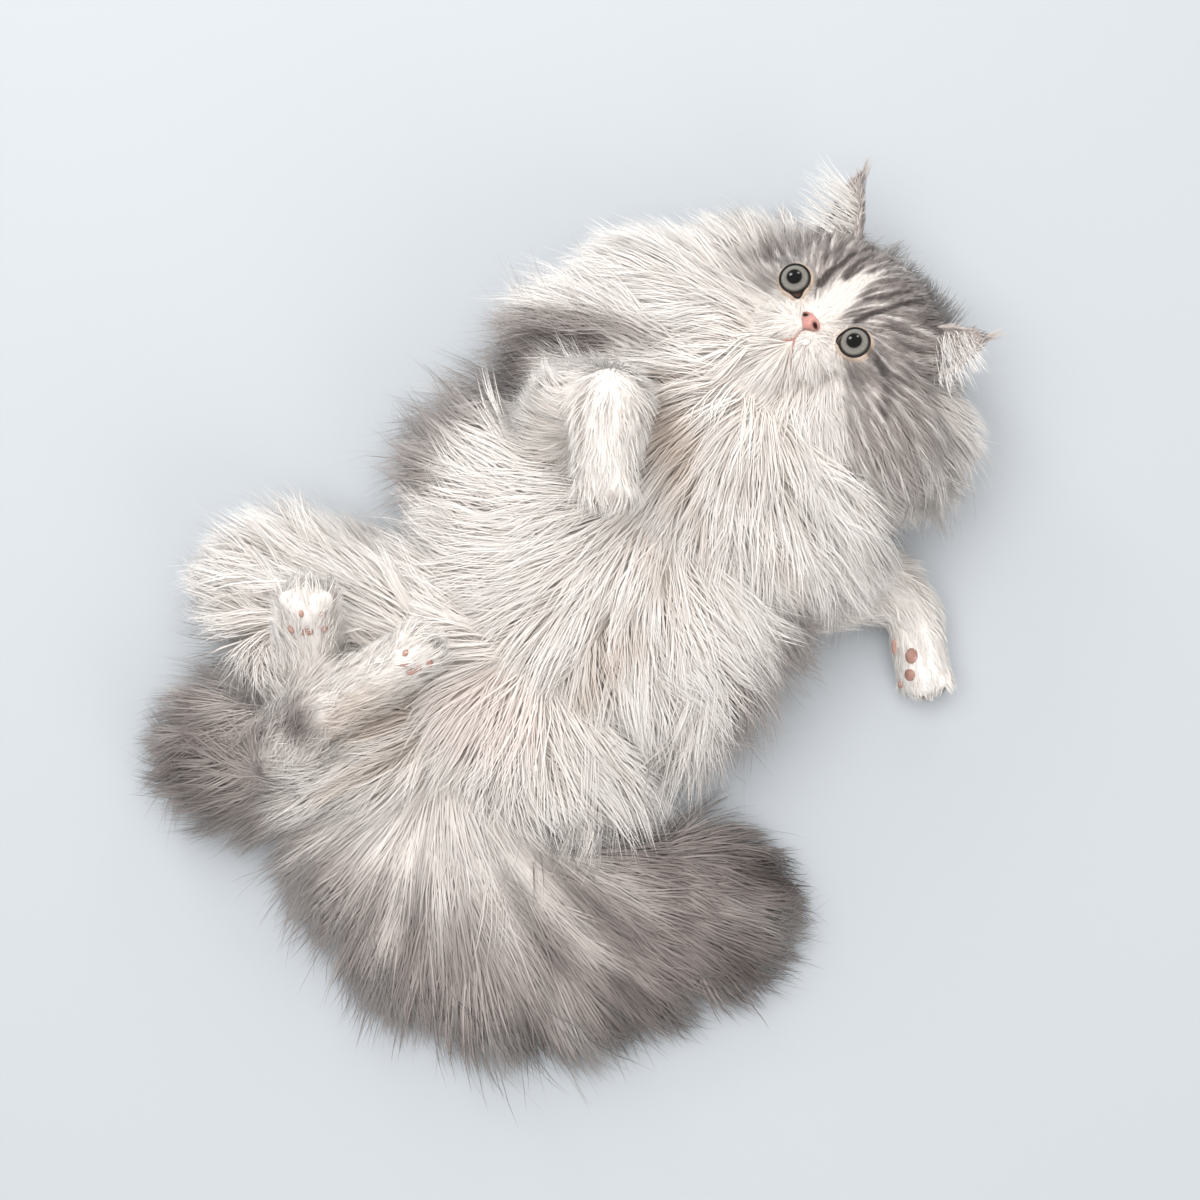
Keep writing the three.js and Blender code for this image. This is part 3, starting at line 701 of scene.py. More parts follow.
def head_marks(points):
    """Grey, dark and warm of the face, in the head's own frame."""
    x, y, z = HEAD.into(points).T
    wide = np.abs(x)
    reach, angle = np.hypot(x, y + FACE_DROP), np.arctan2(x, y + FACE_DROP)
    # a ripple of the fan runs along the hair, like brush strokes away from the nose
    fan = np.stack([angle * 26, reach * 0.1, np.zeros(len(x))], axis=1)
    frayed = ripple(points, 8, 4) * 0.8 + ripple(fan, 3.4, 12) * 1.8
    blaze = np.abs(x - BLAZE_MIDDLE) - np.interp(y, BLAZE_HEIGHTS, BLAZE_HALF_WIDTHS)
    crown = soft(y + frayed * 1.2, -2, 5) * soft(blaze + frayed * 0.9, -1.6, 2.4)
    grey = crown
    for side in (1, -1):
        off_eye = (x - side * EYE_SIDE) * side
        ring = 1 - soft(np.hypot(off_eye - 4, y - 2) + frayed, 13, 20)
        grey = np.maximum(grey, ring * soft(y * 0.9 + off_eye + frayed, -4, 3))
    edge = y + 10 + 0.92 * (wide - 25) + frayed * 1.4
    cheek = soft(edge, -3, 6) * soft(wide, 23, 29)
    fade = np.where(x < 0, 1 - 0.9 * soft(wide, 50, 72), 1 - 0.45 * soft(wide, 60, 104))
    grey = np.maximum(grey, cheek) * fade
    dark = np.zeros(len(points))
    for line, half, much in FACE_STRIPES:
        far = far_from_line(wide, y, np.array(line, float)) + frayed * 0.3
        dark = np.maximum(dark, much * (1 - soft(far, half * 0.5, half * 1.7)))
    dark = np.maximum(dark, 0.35 * soft(y + frayed, 28, 46))
    dark = np.maximum(dark, 0.7 * crown * soft(ripple(fan, 2.6, 21), 0.2, 0.9))
    grey = grey * (1 - 0.6 * soft(ripple(fan, 2.2, 33), 0.1, 0.9))
    grey = np.maximum(grey, 0.2 * soft(ripple(fan, 1.5, 55), -0.1, 0.8) * soft(y, -4, 2))
    grey = np.maximum(grey, FACE_GREY)
    tear = sum(1 - soft(np.hypot(x - side * TEAR_SIDE, y + 4), 2, 6.5) for side in (1, -1)) * 0.5
    warm = np.maximum(tear, 0.15 + 0.1 * ripple(fan, 2.4, 61))
    dark = np.where(grey > 0.1, dark, dark * 0.4)
    return np.where(z > BACK_OF_HEAD, grey, BACK_GREY), dark, np.clip(warm, 0, 1)


print(len(FACE_STRIPES), "stripes on each half of the face")

# %% [markdown]
# ## Markings of the tail
# The plume is nearly white where it leaves the body and smoky at its end. Its hairs spread
# from one point like the ribs of a fan, so the streaks are a ripple round that point. A
# straight band along the tail would cut across the hairs instead.

# %% Streaks of the tail
TAIL_FAN = np.array([-84.0, -78.0, 0])
TAIL_STEPS = np.linspace(0, 1, 41)


def nearest_on_tail(points):
    bone = along_tail(TAIL_STEPS)
    far = np.linalg.norm(points[:, None, :2] - bone[None, :, :2], axis=2)
    return TAIL_STEPS[far.argmin(axis=1)]


def tail_marks(points, dark):
    """Grey and dark of the plume, where dark is what the patches give."""
    fan = points - TAIL_FAN
    far = np.linalg.norm(fan[:, :2], axis=1)
    fan = np.stack([np.arctan2(fan[:, 1], fan[:, 0]) * 60, far * 0.12, np.zeros(len(points))], axis=1)
    streaks = ripple(fan, 13, 41)
    at_end = soft(points[:, 0], -30, 90)
    grey = 0.22 + 0.72 * soft(far + ripple(points, 30, 3) * 14, 12, 105) + 0.15 * at_end
    grey = np.clip(grey - 0.28 * soft(streaks, 0.2, 1.2), 0, 1)
    outer = 0.3 * soft(far + ripple(points, 14, 2) * 12, 110, 180) + 0.12 * at_end
    outer += 0.5 * soft(-streaks, 0.2, 1.2) * soft(far, 25, 80)
    return grey, np.clip(np.maximum(dark, outer), 0, 1)


print("the plume spreads from", TAIL_FAN)

# %% [markdown]
# ## One answer for every point
# The shares of a point say whose markings count there, so that those of the head, trunk,
# legs and tail run into each other as a real coat's do. Lips and lids are bare skin: a
# dark line and a dark rim. The results are stored on the skin's vertices as attributes,
# which a shader can read by name.

# %% Markings of any point
MARKS = ("grey", "dark", "pink", "warm")
BODY_WARM = 0.1


def markings(points, part_shares):
    """Grey, dark, pink and warm, each from 0 to 1, for points on or above the skin; warm and dark carry
    painted shade as well as the coat's colours.
    """
    share = {part: part_shares[:, i] for i, part in enumerate(PARTS)}
    frayed = ripple(points, 26, 8) * 0.16 + ripple(points, 9, 6) * 0.1
    tables = (GREY_PATCHES, DARK_PATCHES, WARM_SHADE_PATCHES)
    grey, dark, warm = (patches_at(points, table, frayed) for table in tables)
    on_head = share["head"] + share["muzzle"]
    on_paws = sum(share[n] for n in PAWS)
    forelegs = share["foreleg_left"] + share["foreleg_right"]
    hindlegs = share["hindleg_left"] + share["hindleg_right"]
    torso = share["trunk"] + share["neck"] + share["thigh_left"] + share["thigh_right"]
    back = soft(points[:, 2], 26, 8) * (share["trunk"] + 0.4 * share["neck"] + 0.8 * share["thigh_left"])
    tail_grey, tail_dark = tail_marks(points, dark)
    head_grey, head_dark, head_warm = head_marks(points)
    grey_all = np.maximum(grey * torso, back) + share["tail"] * tail_grey + hindlegs * grey
    grey_all += head_grey * share["head"] + forelegs * 0.12 * grey
    dark_all = dark * (torso + hindlegs) + share["tail"] * tail_dark + head_dark * on_head
    # warm: the body's own tone, the tear stains, and painted shade in the creases
    warm_all = np.maximum(warm, BODY_WARM) * (1 - on_head - on_paws) + head_warm * on_head
    groin = patch(points, *GROIN) * GROIN_PINK * share["trunk"]
    return tuple(np.clip(v, 0, 1) for v in (grey_all, dark_all, groin, warm_all))


def round_eyes(points, inner, outer):
    """1 at the lids' edge, falling to 0 between two shares of the eye's opening."""
    most = np.zeros(len(points))
    for side in (1, -1):
        share, _, height = around_eye(points, side)
        most = np.maximum(most, (1 - soft(share, inner, outer)) * (height > -6))
    return most


def add_marks(piece, **marks):
    """Store values on a piece's vertices under the names that the shaders read."""
    for name, values in marks.items():
        layer = piece.data.attributes.new(name, "FLOAT", "POINT")
        layer.data.foreach_set("value", np.asarray(values, np.float32))


print("markings of each point:", ", ".join(MARKS))

# %% Mark the skin
MOUTH_APEX = np.array([0, -20.0])
LIP_LINE = 0.7
points = vertices_of(skin)
face = HEAD.into(points)
grey, dark, pink, warm = markings(points, shares(points))
lid_edge = round_eyes(points, 1.2, 1.4)
lips = np.exp(-((from_mouth(points) / LIP_LINE) ** 2)) * (face[:, 2] > -16)
lips *= 0.9 - 0.55 * soft(np.hypot(*(face[:, :2] - MOUTH_APEX).T), 3, 13)
grey *= 1 - np.maximum(lips, lid_edge)
halfway = np.full(len(points), 0.5)
add_marks(skin, grey=grey, dark=dark, pink=np.maximum(pink, lips), warm=np.maximum(warm, lid_edge))
add_marks(skin, along=halfway, vary=halfway, rim=round_eyes(points, 1.0, 1.05), lips=lips)
print("grey covers", round(float(grey.mean()), 2), "of the skin's vertices")

# %% [markdown]
# ## Combing: how the coat lies
# On the face the hair runs away from the nose. On the trunk it runs from the midline of
# the belly outwards and to the rear, down each leg to the paw, out over the thighs, and
# along the tail and out to both sides like a fan. A groomer's brush in Blender's hair
# tools would set this by hand. Here each part gives a direction, and the shares of a
# point blend them.

# %% The lie of the coat
RAISED_SHOULDER = np.array([3.0, 82, 0])
BELOW_TAIL = np.array([-0.45, -0.9])


def lie_on_head(points):
    x, y, _ = HEAD.into(points).T
    return HEAD.aim(unit(np.stack([x, y + FACE_DROP, np.full(len(points), -9.0)], axis=1)))


def lie_on_neck(points):
    way = points - HEAD.out(0, -6, -8)
    way[:, 2] *= 0.5
    return unit(way)


def lie_on_trunk(points):
    """Outwards from the midline and to the rear, and back to the tail at the left flank."""
    to_head, to_right, _ = TRUNK.into(points).T
    across = np.clip(to_right / 34, -1, 1)
    way = np.stack([-0.75 + 0.45 * np.abs(across), across, np.full(len(points), -0.2)], axis=1)
    by_tail = soft(-to_right, 46, 84) * soft(-to_head, -20, 20)
    return TRUNK.aim(unit(unit(way) + by_tail[:, None] * np.array([-1.5, -0.35, -0.1])))


def lie_on_raised_leg(points):
    way = points - RAISED_SHOULDER
    way[:, 2] = 4
    return unit(way)


def lie_on_tail(points):
    """Along the bone, away from the root of the fan, and out to the far side."""
    t = nearest_on_tail(points)
    ahead = unit(along_tail(t + 0.02) - along_tail(t - 0.02))
    off = points - along_tail(t)
    off[:, 2] = 0
    below = soft(unit(off)[:, :2] @ BELOW_TAIL, -0.4, 0.6)
    radial = points - TAIL_FAN
    radial[:, 2] = 0
    return unit(0.45 * ahead + 0.6 * unit(radial) + off / 34 * below[:, None])


def lie_on_limb(part, points):
    """Along the nearest bone of a leg or paw, and out from the hip on a thigh."""
    if part in THIGHS:
        hip, knee, _ = THIGHS[part]
        return unit(points - (np.array(hip) * 1.2 - np.array(knee) * 0.2))
    joints = np.array(BONES[part][0], float)
    ways = np.diff(joints, axis=0)
    if part in PAWS:
        ways[:, 2] *= 0.35
    middles = (joints[1:] + joints[:-1]) / 2
    near = np.linalg.norm(points[:, None] - middles[None], axis=2).argmin(axis=1)
    return unit(ways)[near]


LIES = {
    "head": lie_on_head,
    "muzzle": lie_on_head,
    "neck": lie_on_neck,
    "trunk": lie_on_trunk,
    "foreleg_right": lie_on_raised_leg,
    "tail": lie_on_tail,
}
print("own lie:", ", ".join(LIES), "and the limbs along their bones")

# %% [markdown]
# ## Length and depth
# A Persian's ruff and plume have hair as long as a finger, its face has hair of a few
# millimetres. Length is how long a hair is, and depth how far its end stands off the skin,
# so a deep coat with the same length stands up more. Painted weight maps are the usual
# way. A table by part, with a ramp where a part changes, says the same in fewer words.

# %% Length and depth of the coat
# part: length of the hair, and how deep the coat stands along, across and up, in mm
COAT = {
    "head": (30, (33, 28, 12)),
    "muzzle": (5, (2, 2, 1.5)),
    "neck": (50, (20, 42, 16)),
    "trunk": (58, (18, 52, 14)),
    "thigh_left": (50, (36, 36, 26)),
    "thigh_right": (48, (36, 36, 24)),
    "tail": (60, (42, 42, 11)),
    "foreleg_left": (20, (8.5, 8.5, 8)),
    "foreleg_right": (20, (13, 8, 12)),
    "hindleg_left": (20, (8, 8, 8)),
    "hindleg_right": (26, (12, 12, 12)),
    "forepaw_left": (9, (3, 3, 3)),
    "forepaw_right": (14, (9, 6, 5)),
    "hindpaw_left": (14, (7, 7, 5)),
    "hindpaw_right": (14, (8, 8, 5)),
}
CROWN_DEPTH = 15
COAT_FRAMES = {"head": HEAD, "neck": TRUNK, "trunk": TRUNK}
SIDE_LENGTH = 12


def head_coat(points, stretch):
    """Short round the nose, then longer, and longest in the mane over the right cheek."""
    x, y, _ = HEAD.into(points).T
    reach = np.hypot(x, (y + FACE_DROP) * np.where(y > -FACE_DROP, 0.8, 1.1))
    ramp = soft(reach, 12, 84)
    mane = soft(-x, 22, 50)
    stretch[:, 1] *= 1 - (1 - CROWN_DEPTH / COAT["head"][1][1]) * soft(y, -5, 20) * (1 - mane)
    stretch[:, 0] *= 1 - 0.42 * soft(x, 10, 40)
    depth = np.linalg.norm(stretch, axis=1) * (0.06 + (1 + 0.6 * mane) * ramp**1.3)
    return 3.0 + (40 + 22 * mane) * ramp**1.4, depth


def muzzle_coat(points, stretch):
    """Short velvet that lengthens over the chin."""
    y = HEAD.into(points)[:, 1]
    length = 4 + 15 * soft(-y, 13, 26) + 16 * soft(-y, 26, 36)
    return length, np.linalg.norm(stretch, axis=1) * (1 + 4 * soft(-y, 24, 36))


def tail_coat(points, stretch, outs):
    """Deep to the outside of the plume's curve, and shorter towards its end."""
    below = soft(outs[:, :2] @ BELOW_TAIL, -0.62, 0.5)
    level = np.linalg.norm(stretch[:, :2], axis=1) * (0.45 + 0.55 * below)
    depth = np.hypot(stretch[:, 2], level)
    return 34 + 0.4 * depth + 24 * (1 - soft(nearest_on_tail(points), 0.5, 0.95)), depth


def body_coat(part, points, stretch):
    """Longer at the right side and at the end of the left flank, flatter over the tail."""
    to_head, to_right, _ = TRUNK.into(points).T
    on_left = soft(-to_right, 45, 75) * soft(-to_head, -10, 25) * soft(to_head, -100, -70)
    side = soft(to_right, 20, 80) * (1 if part == "trunk" else 0.3) + 1.8 * on_left
    over_tail = soft(-to_right, 5, 50) * soft(-to_head, 60, 100)
    depth = np.linalg.norm(stretch, axis=1) * (1 + 0.24 * side) * (1 - 0.35 * over_tail)
    return COAT[part][0] + SIDE_LENGTH * side, depth


def coat_of(part, points, outs):
    """Length and depth of one part's coat at points of the skin."""
    length, deep = COAT[part]
    stretch = outs @ COAT_FRAMES.get(part, LEVEL).axes * deep
    if part == "head":
        return head_coat(points, stretch)
    if part == "muzzle":
        return muzzle_coat(points, stretch)
    if part == "tail":
        return tail_coat(points, stretch, outs)
    if part in ("trunk", "neck"):
        return body_coat(part, points, stretch)
    return length, np.linalg.norm(stretch, axis=1)


def comb(points, outs, part_shares):
    """Direction, length and depth of the coat at points of the skin."""
    lie, length, depth = np.zeros_like(points), np.zeros(len(points)), np.zeros(len(points))
    for part, share in zip(PARTS, part_shares.T):
        way = LIES[part](points) if part in LIES else lie_on_limb(part, points)
        lie += way * share[:, None]
        long, deep = coat_of(part, points, outs)
        length += long * share
        depth += deep * share
    lie -= outs * (lie * outs).sum(axis=1, keepdims=True)
    x, y, z = HEAD.into(points).T
    over_lip = y > np.interp(np.abs(x), MOUTH[:, 0], MOUTH[:, 1])
    near_mouth = over_lip & (np.abs(x) < 0.5 * (-FACE_DROP - y)) & (z > -30)
    to_lip = np.maximum(from_mouth(points) - 0.4, 1.0)
    return unit(lie), np.where(near_mouth, np.minimum(length, to_lip), length), depth


print("longest coat:", max(length for length, _ in COAT.values()), "mm")

# %% [markdown]
# ## Where the roots go
# Roots are drawn at random over the skin's triangles. A triangle is drawn more often where
# it is big and where its part wants a dense coat. On the underside, which lies on the
# floor, few hairs are enough. Each root keeps its place on the unwrap.

# %% Draw the roots
skin.data.calc_loop_triangles()
triangles = np.empty(len(skin.data.loop_triangles) * 3, int)
skin.data.loop_triangles.foreach_get("vertices", triangles)
triangles = triangles.reshape(-1, 3)
triangle_loops = np.empty(len(skin.data.loop_triangles) * 3, int)
skin.data.loop_triangles.foreach_get("loops", triangle_loops)
triangle_loops = triangle_loops.reshape(-1, 3)
skin_uv = np.empty(len(skin.data.loops) * 2)
skin.data.uv_layers[BAKE_MAP].data.foreach_get("uv", skin_uv)
skin_uv = skin_uv.reshape(-1, 2)
skin_points = vertices_of(skin)
skin_outs = normals_of(skin)
corners = skin_points[triangles]
areas = np.linalg.norm(np.cross(corners[:, 1] - corners[:, 0], corners[:, 2] - corners[:, 0]), axis=1) / 2
middles = corners.mean(axis=1)
middle_outs = unit(skin_outs[triangles].mean(axis=1))
middle_shares = shares(middles)
owner = np.array(PARTS)[middle_shares.argmax(axis=1)]
skin_tree = BVHTree.FromPolygons([tuple(p) for p in skin_points], [tuple(t) for t in triangles.tolist()])
print("area of the skin", int(areas.sum() / 100), "square centimetres")


def draw_roots(weight, count, seed):
    """Places, directions, shares and unwrap places of count roots."""
    draw = np.random.default_rng(seed)
    chance = areas * weight
    picks = draw.choice(len(areas), count, p=chance / chance.sum())
    a, b = draw.random(count), draw.random(count)
    over = a + b > 1
    a[over], b[over] = 1 - a[over], 1 - b[over]
    mix = np.stack([1 - a - b, a, b], axis=1)[:, :, None]
    roots = {
        "at": (skin_points[triangles[picks]] * mix).sum(axis=1),
        "out": unit((skin_outs[triangles[picks]] * mix).sum(axis=1)),
        "uv": (skin_uv[triangle_loops[picks]] * mix).sum(axis=1),
    }
    roots["shares"] = shares(roots["at"])
    soft_out = roots["out"].copy()
    soft_out[:, 2] = np.maximum(soft_out[:, 2], 0.0) + 0.25
    roots["soft out"] = unit(soft_out)
    roots["lie"], roots["length"], roots["depth"] = comb(roots["at"], roots["out"], roots["shares"])
    return roots


# %% [markdown]
# ## One tuft
# A tuft is a tapered rod with three sides. It leaves the skin steeply and bends over to
# lie along the coat. Tufts come together in pointed locks: each follows the leader of its
# lock more and more closely towards the tip. Blender's hair curves would give finer hair,
# but a part for a shared library has to be plain mesh. Short tufts are lifted clear of the
# skin, which would swallow them where it bulges.

# %% Paths of the tufts
FLOOR_CLEAR = 0.9


def curved(starts, first, last, length, steps):
    """Paths that leave each start one way and bend over to end another way."""
    t = np.array(steps)[None, :, None]
    bend = first[:, None] * (t - t * t / 2) + last[:, None] * (t * t / 2)
    return starts[:, None] + length[:, None, None] * bend


def lift(path, least):
    """Push the points of short tufts out of the skin, where a bulge would swallow them."""
    for tuft in path:
        for k in range(1, len(tuft)):
            spot, way, _, _ = skin_tree.find_nearest(Vector(tuft[k]))
            above = (tuft[k] - np.array(spot)) @ np.array(way)
            if above < least * k:
                tuft[k] += np.array(way) * (least * k - above)
    return path


def lock_leaders(at, leaders):
    """The nearest leader of each tuft, and how far it is."""
    tree = KDTree(len(leaders))
    for i, j in enumerate(leaders):
        tree.insert(at[j], i)
    tree.balance()
    found = [tree.find(p) for p in at]
    return leaders[np.array([f[1] for f in found])], np.array([f[2] for f in found])


def tuft_paths(roots, steps, seed, style):
    """Points along each tuft, as an array of tufts by steps by three, width and shade."""
    draw = np.random.default_rng(seed)
    count = len(roots["at"])
    at, out, lie = roots["at"], roots["out"], roots["lie"]
    length = roots["length"] * (1 + style["uneven"] * draw.normal(size=count)).clip(0.45, 1.5)
    layer = draw.uniform(style["lowest"], 1.0, count)
    loose = draw.random(count) < style["loose"]
    layer = np.where(loose, layer * 1.15, layer)
    # the lower layers lie deep in the coat and get a painted cream shade
    roots["under"] = 0.65 * (1 - np.clip(layer, 0, 1)) ** 1.2
    length = np.where(loose, length * 1.12, length)
    lead, gap = lock_leaders(at, draw.permutation(count)[: max(count // style["per_lock"], 1)])
    swing = draw.normal(size=count)[lead] * style["swing"] + draw.normal(size=count) * style["fray"]
    side = np.cross(out, lie)
    lie = lie * np.cos(swing)[:, None] + side * np.sin(swing)[:, None]
    side = np.cross(out, lie)
    # a hair rises from the skin first and falls back at its end
    mean = np.arcsin(np.clip(roots["depth"] * layer / np.maximum(length, 1), 0.04, 0.92))
    rise, fall = np.minimum(mean + style["curl"], 1.35), mean - style["curl"]
    first = lie * np.cos(rise)[:, None] + out * np.sin(rise)[:, None]
    last = lie * np.cos(fall)[:, None] + out * np.sin(fall)[:, None]
    last[:, 2] -= style["droop"]
    t = np.array(steps)[None, :, None]
    start = at - out * style["sink"]
    path = curved(start, first, unit(last), length, steps)
    wave = np.sin(FULL_TURN * (t[:, :, 0] * style["waves"] + draw.random(count)[lead][:, None]))
    path += side[:, None] * (wave * t[:, :, 0])[:, :, None] * style["wavy"]
    # the outer side of a lock faces away from its leader, which rounds it in the light
    lock_side = (at - at[lead]) - lie * ((at - at[lead]) * lie).sum(axis=1, keepdims=True)
    rounded = roots["soft out"] + style["round"] * lock_side / np.maximum(gap.mean(), 1)
    roots["soft out"] = unit(rounded)
    alike = (out * out[lead]).sum(axis=1) * (roots["lie"] * roots["lie"][lead]).sum(axis=1)
    hold = style["hold"] * draw.uniform(0.7, 1.0, count) * (alike > 0.35) * (gap < style["widest"])
    hold = np.where(loose, hold * 0.25, hold)[:, None, None]
    spread = (start - start[lead])[:, None] * (1 - t) ** 1.5
    path = path + hold * t**0.9 * (path[lead] + spread * 0.6 - path)
    if style["lift"]:
        path = lift(path, style["lift"])
    lowest = FLOOR_CLEAR + 1.2 * draw.random(count)[:, None]
    path[:, :, 2] = np.maximum(path[:, :, 2], lowest)
    width = style["width"] * draw.uniform(0.5, 1.35, count) * np.where(loose, 0.5, 1.0)
    return path, width, 0.5 * draw.random(count) + 0.5 * draw.random(count)[lead]


print("tufts stay", FLOOR_CLEAR, "mm above the floor")

# %% [markdown]
# ## From paths to closed meshes
# Real hairs are round and far too many to model, so one tuft stands for a small bundle.
# Curves with a bevel could give them thickness, but would have to become mesh in the end.
# So all tufts of a piece are built at once from arrays: rings of three vertices along each
# path, then a tip.
# Their normals are turned most of the way to the skin's own, so that light falls on the
# coat as softly as on real fur. The unwrap gets a tiny patch at the place of each root.

# %% Rings and faces of the tufts
TAPER = {5: (0.85, 1.0, 0.85, 0.52), 4: (0.9, 1.0, 0.66), 3: (0.9, 0.85)}
# the three corners of a ring, across and up, as shares of the width
SECTION = ((0.5, -0.16), (0.0, 0.26), (-0.5, -0.16))
RING_EDGES = ((0, 1), (1, 2), (2, 0))
SOFTNESS = 0.9


def tuft_rings(roots, path, width):
    """Vertices and normals of all tufts, as arrays of tufts by vertices by three."""
    count, steps = path.shape[:2]
    rings = steps - 1
    way = unit(np.gradient(path, axis=1))
    side = unit(np.cross(way, roots["out"][:, None]))
    ridge = unit(np.cross(side, way))
    taper = np.array(TAPER[steps])
    verts = np.empty((count, rings * 3 + 1, 3))
    ways = np.empty_like(verts)
    for k, (across, up) in enumerate(SECTION):
        spread = across * side[:, :rings] + up * ridge[:, :rings]
        spread = spread * (width[:, None] * taper[None])[:, :, None]
        verts[:, k : rings * 3 : 3] = path[:, :rings] + spread
        ways[:, k : rings * 3 : 3] = unit(spread)
    verts[:, -1] = path[:, -1]
    ways[:, -1] = ridge[:, -1]
    soft_out = roots.get("soft out", roots["out"])
    return verts, unit((1 - SOFTNESS) * ways + SOFTNESS * soft_out[:, None])


def tuft_faces(count, rings):
    """The vertices at the corners of all faces, and the number of corners of each face."""
    quads = []
    for r in range(rings - 1):
        for a, b in RING_EDGES:
            quads.append([r * 3 + a, r * 3 + 3 + a, r * 3 + 3 + b, r * 3 + b])
    last = (rings - 1) * 3
    tris = [[0, 1, 2]] + [[last + a, last + 3, last + b] for a, b in RING_EDGES]
    base = (np.arange(count) * (rings * 3 + 1))[:, None, None]
    both_kinds = [(base + np.array(kind)[None]).reshape(count, -1) for kind in (quads, tris)]
    sizes = np.tile([4] * len(quads) + [3] * len(tris), count)
    return np.concatenate(both_kinds, axis=1).ravel(), sizes


print("rings of a long tuft:", len(TAPER[5]), "and of a short one:", len(TAPER[3]))

# %% Build a piece of the coat
PATCH_SIZE = 0.003
# how far the marking of a tuft follows its own path and leaves that of its root
MARK_REACH = {"coat_face": 0.95, "coat_crown": 0.85, "coat_belly": 0.45}
USUAL_REACH = 0.7
coats = []


def marks_along(roots, path, reach):
    """The markings at each step of each tuft, between its root and its own place, with painted cream shade
    on the lower layers.
    """
    count, steps = path.shape[:2]
    if "shares" not in roots:
        return {key: np.repeat(roots[key][:, None], steps, axis=1) for key in MARKS}
    spots = roots["at"][:, None] * (1 - reach) + path * reach
    found = markings(spots.reshape(-1, 3), np.repeat(roots["shares"], steps, axis=0))
    marks = {key: values.reshape(count, steps) for key, values in zip(MARKS, found)}
    # the lower layers are tinted cream as painted shade
    marks["warm"] = np.maximum(marks["warm"], roots["under"][:, None])
    return marks


def unwrap_tufts(mesh, roots, loops, along, rings):
    """Give each tuft a tiny patch of the unwrap at the place of its root."""
    around = np.append(np.tile([0, 0.5, 1.0], rings), 0.5)
    spots = np.stack([around, along], axis=1) * PATCH_SIZE
    uv = (roots["uv"][:, None] - PATCH_SIZE / 2 + spots[None]).reshape(-1, 2)
    layer = mesh.uv_layers.new(name=BAKE_MAP)
    layer.data.foreach_set("uv", uv[loops].astype(np.float32).ravel())


def build_tufts(name, slot, roots, path, width, shade):
    """One piece of the coat, with its unwrap, markings, painted shade and soft normals."""
    count, steps = path.shape[:2]
    rings = steps - 1
    verts, normals = tuft_rings(roots, path, width)
    loops, sizes = tuft_faces(count, rings)
    mesh = bpy.data.meshes.new(name)
    mesh.vertices.add(count * (rings * 3 + 1))
    mesh.vertices.foreach_set("co", metres(verts.reshape(-1, 3)).astype(np.float32).ravel())
    mesh.loops.add(loops.size)
    mesh.loops.foreach_set("vertex_index", loops.astype(np.int32))
    mesh.polygons.add(len(sizes))
    starts = np.concatenate([[0], np.cumsum(sizes)[:-1]])
    mesh.polygons.foreach_set("loop_start", starts.astype(np.int32))
    mesh.update(calc_edges=True)
    mesh.shade_smooth()
    piece = bpy.data.objects.new(name, mesh)
    bpy.context.scene.collection.objects.link(piece)
    along = np.append(np.repeat(np.linspace(0, 1, steps)[:-1], 3), 1.0)
    unwrap_tufts(mesh, roots, loops, along, rings)
    marks = {}
    for key, values in marks_along(roots, path, MARK_REACH.get(name, USUAL_REACH)).items():
        on_rings = np.repeat(values[:, :rings], 3, axis=1)
        marks[key] = np.concatenate([on_rings, values[:, -1:]], axis=1).ravel()
    add_marks(piece, along=np.tile(along, count), vary=np.repeat(shade, rings * 3 + 1), **marks)
    mesh.normals_split_custom_set_from_vertices(normals.reshape(-1, 3).astype(np.float32))
    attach(piece, "root")
    coats.append(piece)
    print(f"{name}: {count} tufts, {(sizes - 2).sum()} triangles")


# %% [markdown]
# ## Styles of hair
# Short hair on the face and paws is fine and lies flat, with little curl. The long hair
# of the trunk is wavy and gathers in locks. The tail's is the longest and straightest.
# Loose hairs, thinner and longer than their neighbours, break up the outline. One style
# could be drawn by hand for each piece, but a table keeps the numbers side by side.

# %% Styles
# how far along a tuft its points lie, for long, middling and short hair
LONG = [0, 0.28, 0.58, 0.83, 1.0]
MIDDLE = [0, 0.36, 0.72, 1.0]
SHORT = [0, 0.5, 1.0]
STYLE = {
    "uneven": 0.14, "lowest": 0.3, "loose": 0.12, "per_lock": 10, "swing": 0.2, "fray": 0.12,
    "curl": 0.45, "droop": 0.12, "sink": 1.0, "waves": 0.8, "wavy": 1.6, "hold": 0.6,
    "widest": 14, "width": 0.6, "round": 0.35, "lift": 0,
}
STYLES = {
    "face": {
        **STYLE, "lift": 0.45, "width": 0.5, "hold": 0.4, "wavy": 0.2, "per_lock": 7,
        "sink": 0.4, "fray": 0.14, "curl": 0.2, "droop": 0.0, "loose": 0.05,
    },
    "crown": {
        **STYLE, "lift": 0.6, "width": 0.6, "hold": 0.55, "wavy": 0.5, "curl": 0.3, "droop": 0.05,
    },
    "legs": {
        **STYLE, "lift": 0.5, "width": 0.5, "hold": 0.4, "wavy": 0.3, "per_lock": 7,
        "curl": 0.3, "fray": 0.14, "droop": 0.0, "loose": 0.08,
    },
    "body": {**STYLE, "wavy": 2.6, "swing": 0.3, "curl": 0.32, "per_lock": 14, "hold": 0.68},
    "neck": {**STYLE, "wavy": 2.2, "curl": 0.35, "swing": 0.26, "per_lock": 14, "hold": 0.66},
    "tail": {
        **STYLE, "width": 0.75, "wavy": 1.5, "swing": 0.14, "curl": 0.35, "uneven": 0.16,
        "hold": 0.5,
    },
    "ears": {
        **STYLE, "width": 0.5, "hold": 0.2, "wavy": 0.1, "per_lock": 5, "sink": 0.2,
        "curl": 0.1, "droop": 0.0, "loose": 0.05,
    },
}
print("styles:", ", ".join(STYLES))

# %% [markdown]
# ## The pieces of the coat
# The coat of a cat is one, but a mesh of all its tufts would be too heavy to handle. So it
# is cut where the style changes and where a piece would grow too big. Nose, lips and lids
# stay bare. On the underside only about a fifth as many hairs grow, since nobody sees it.

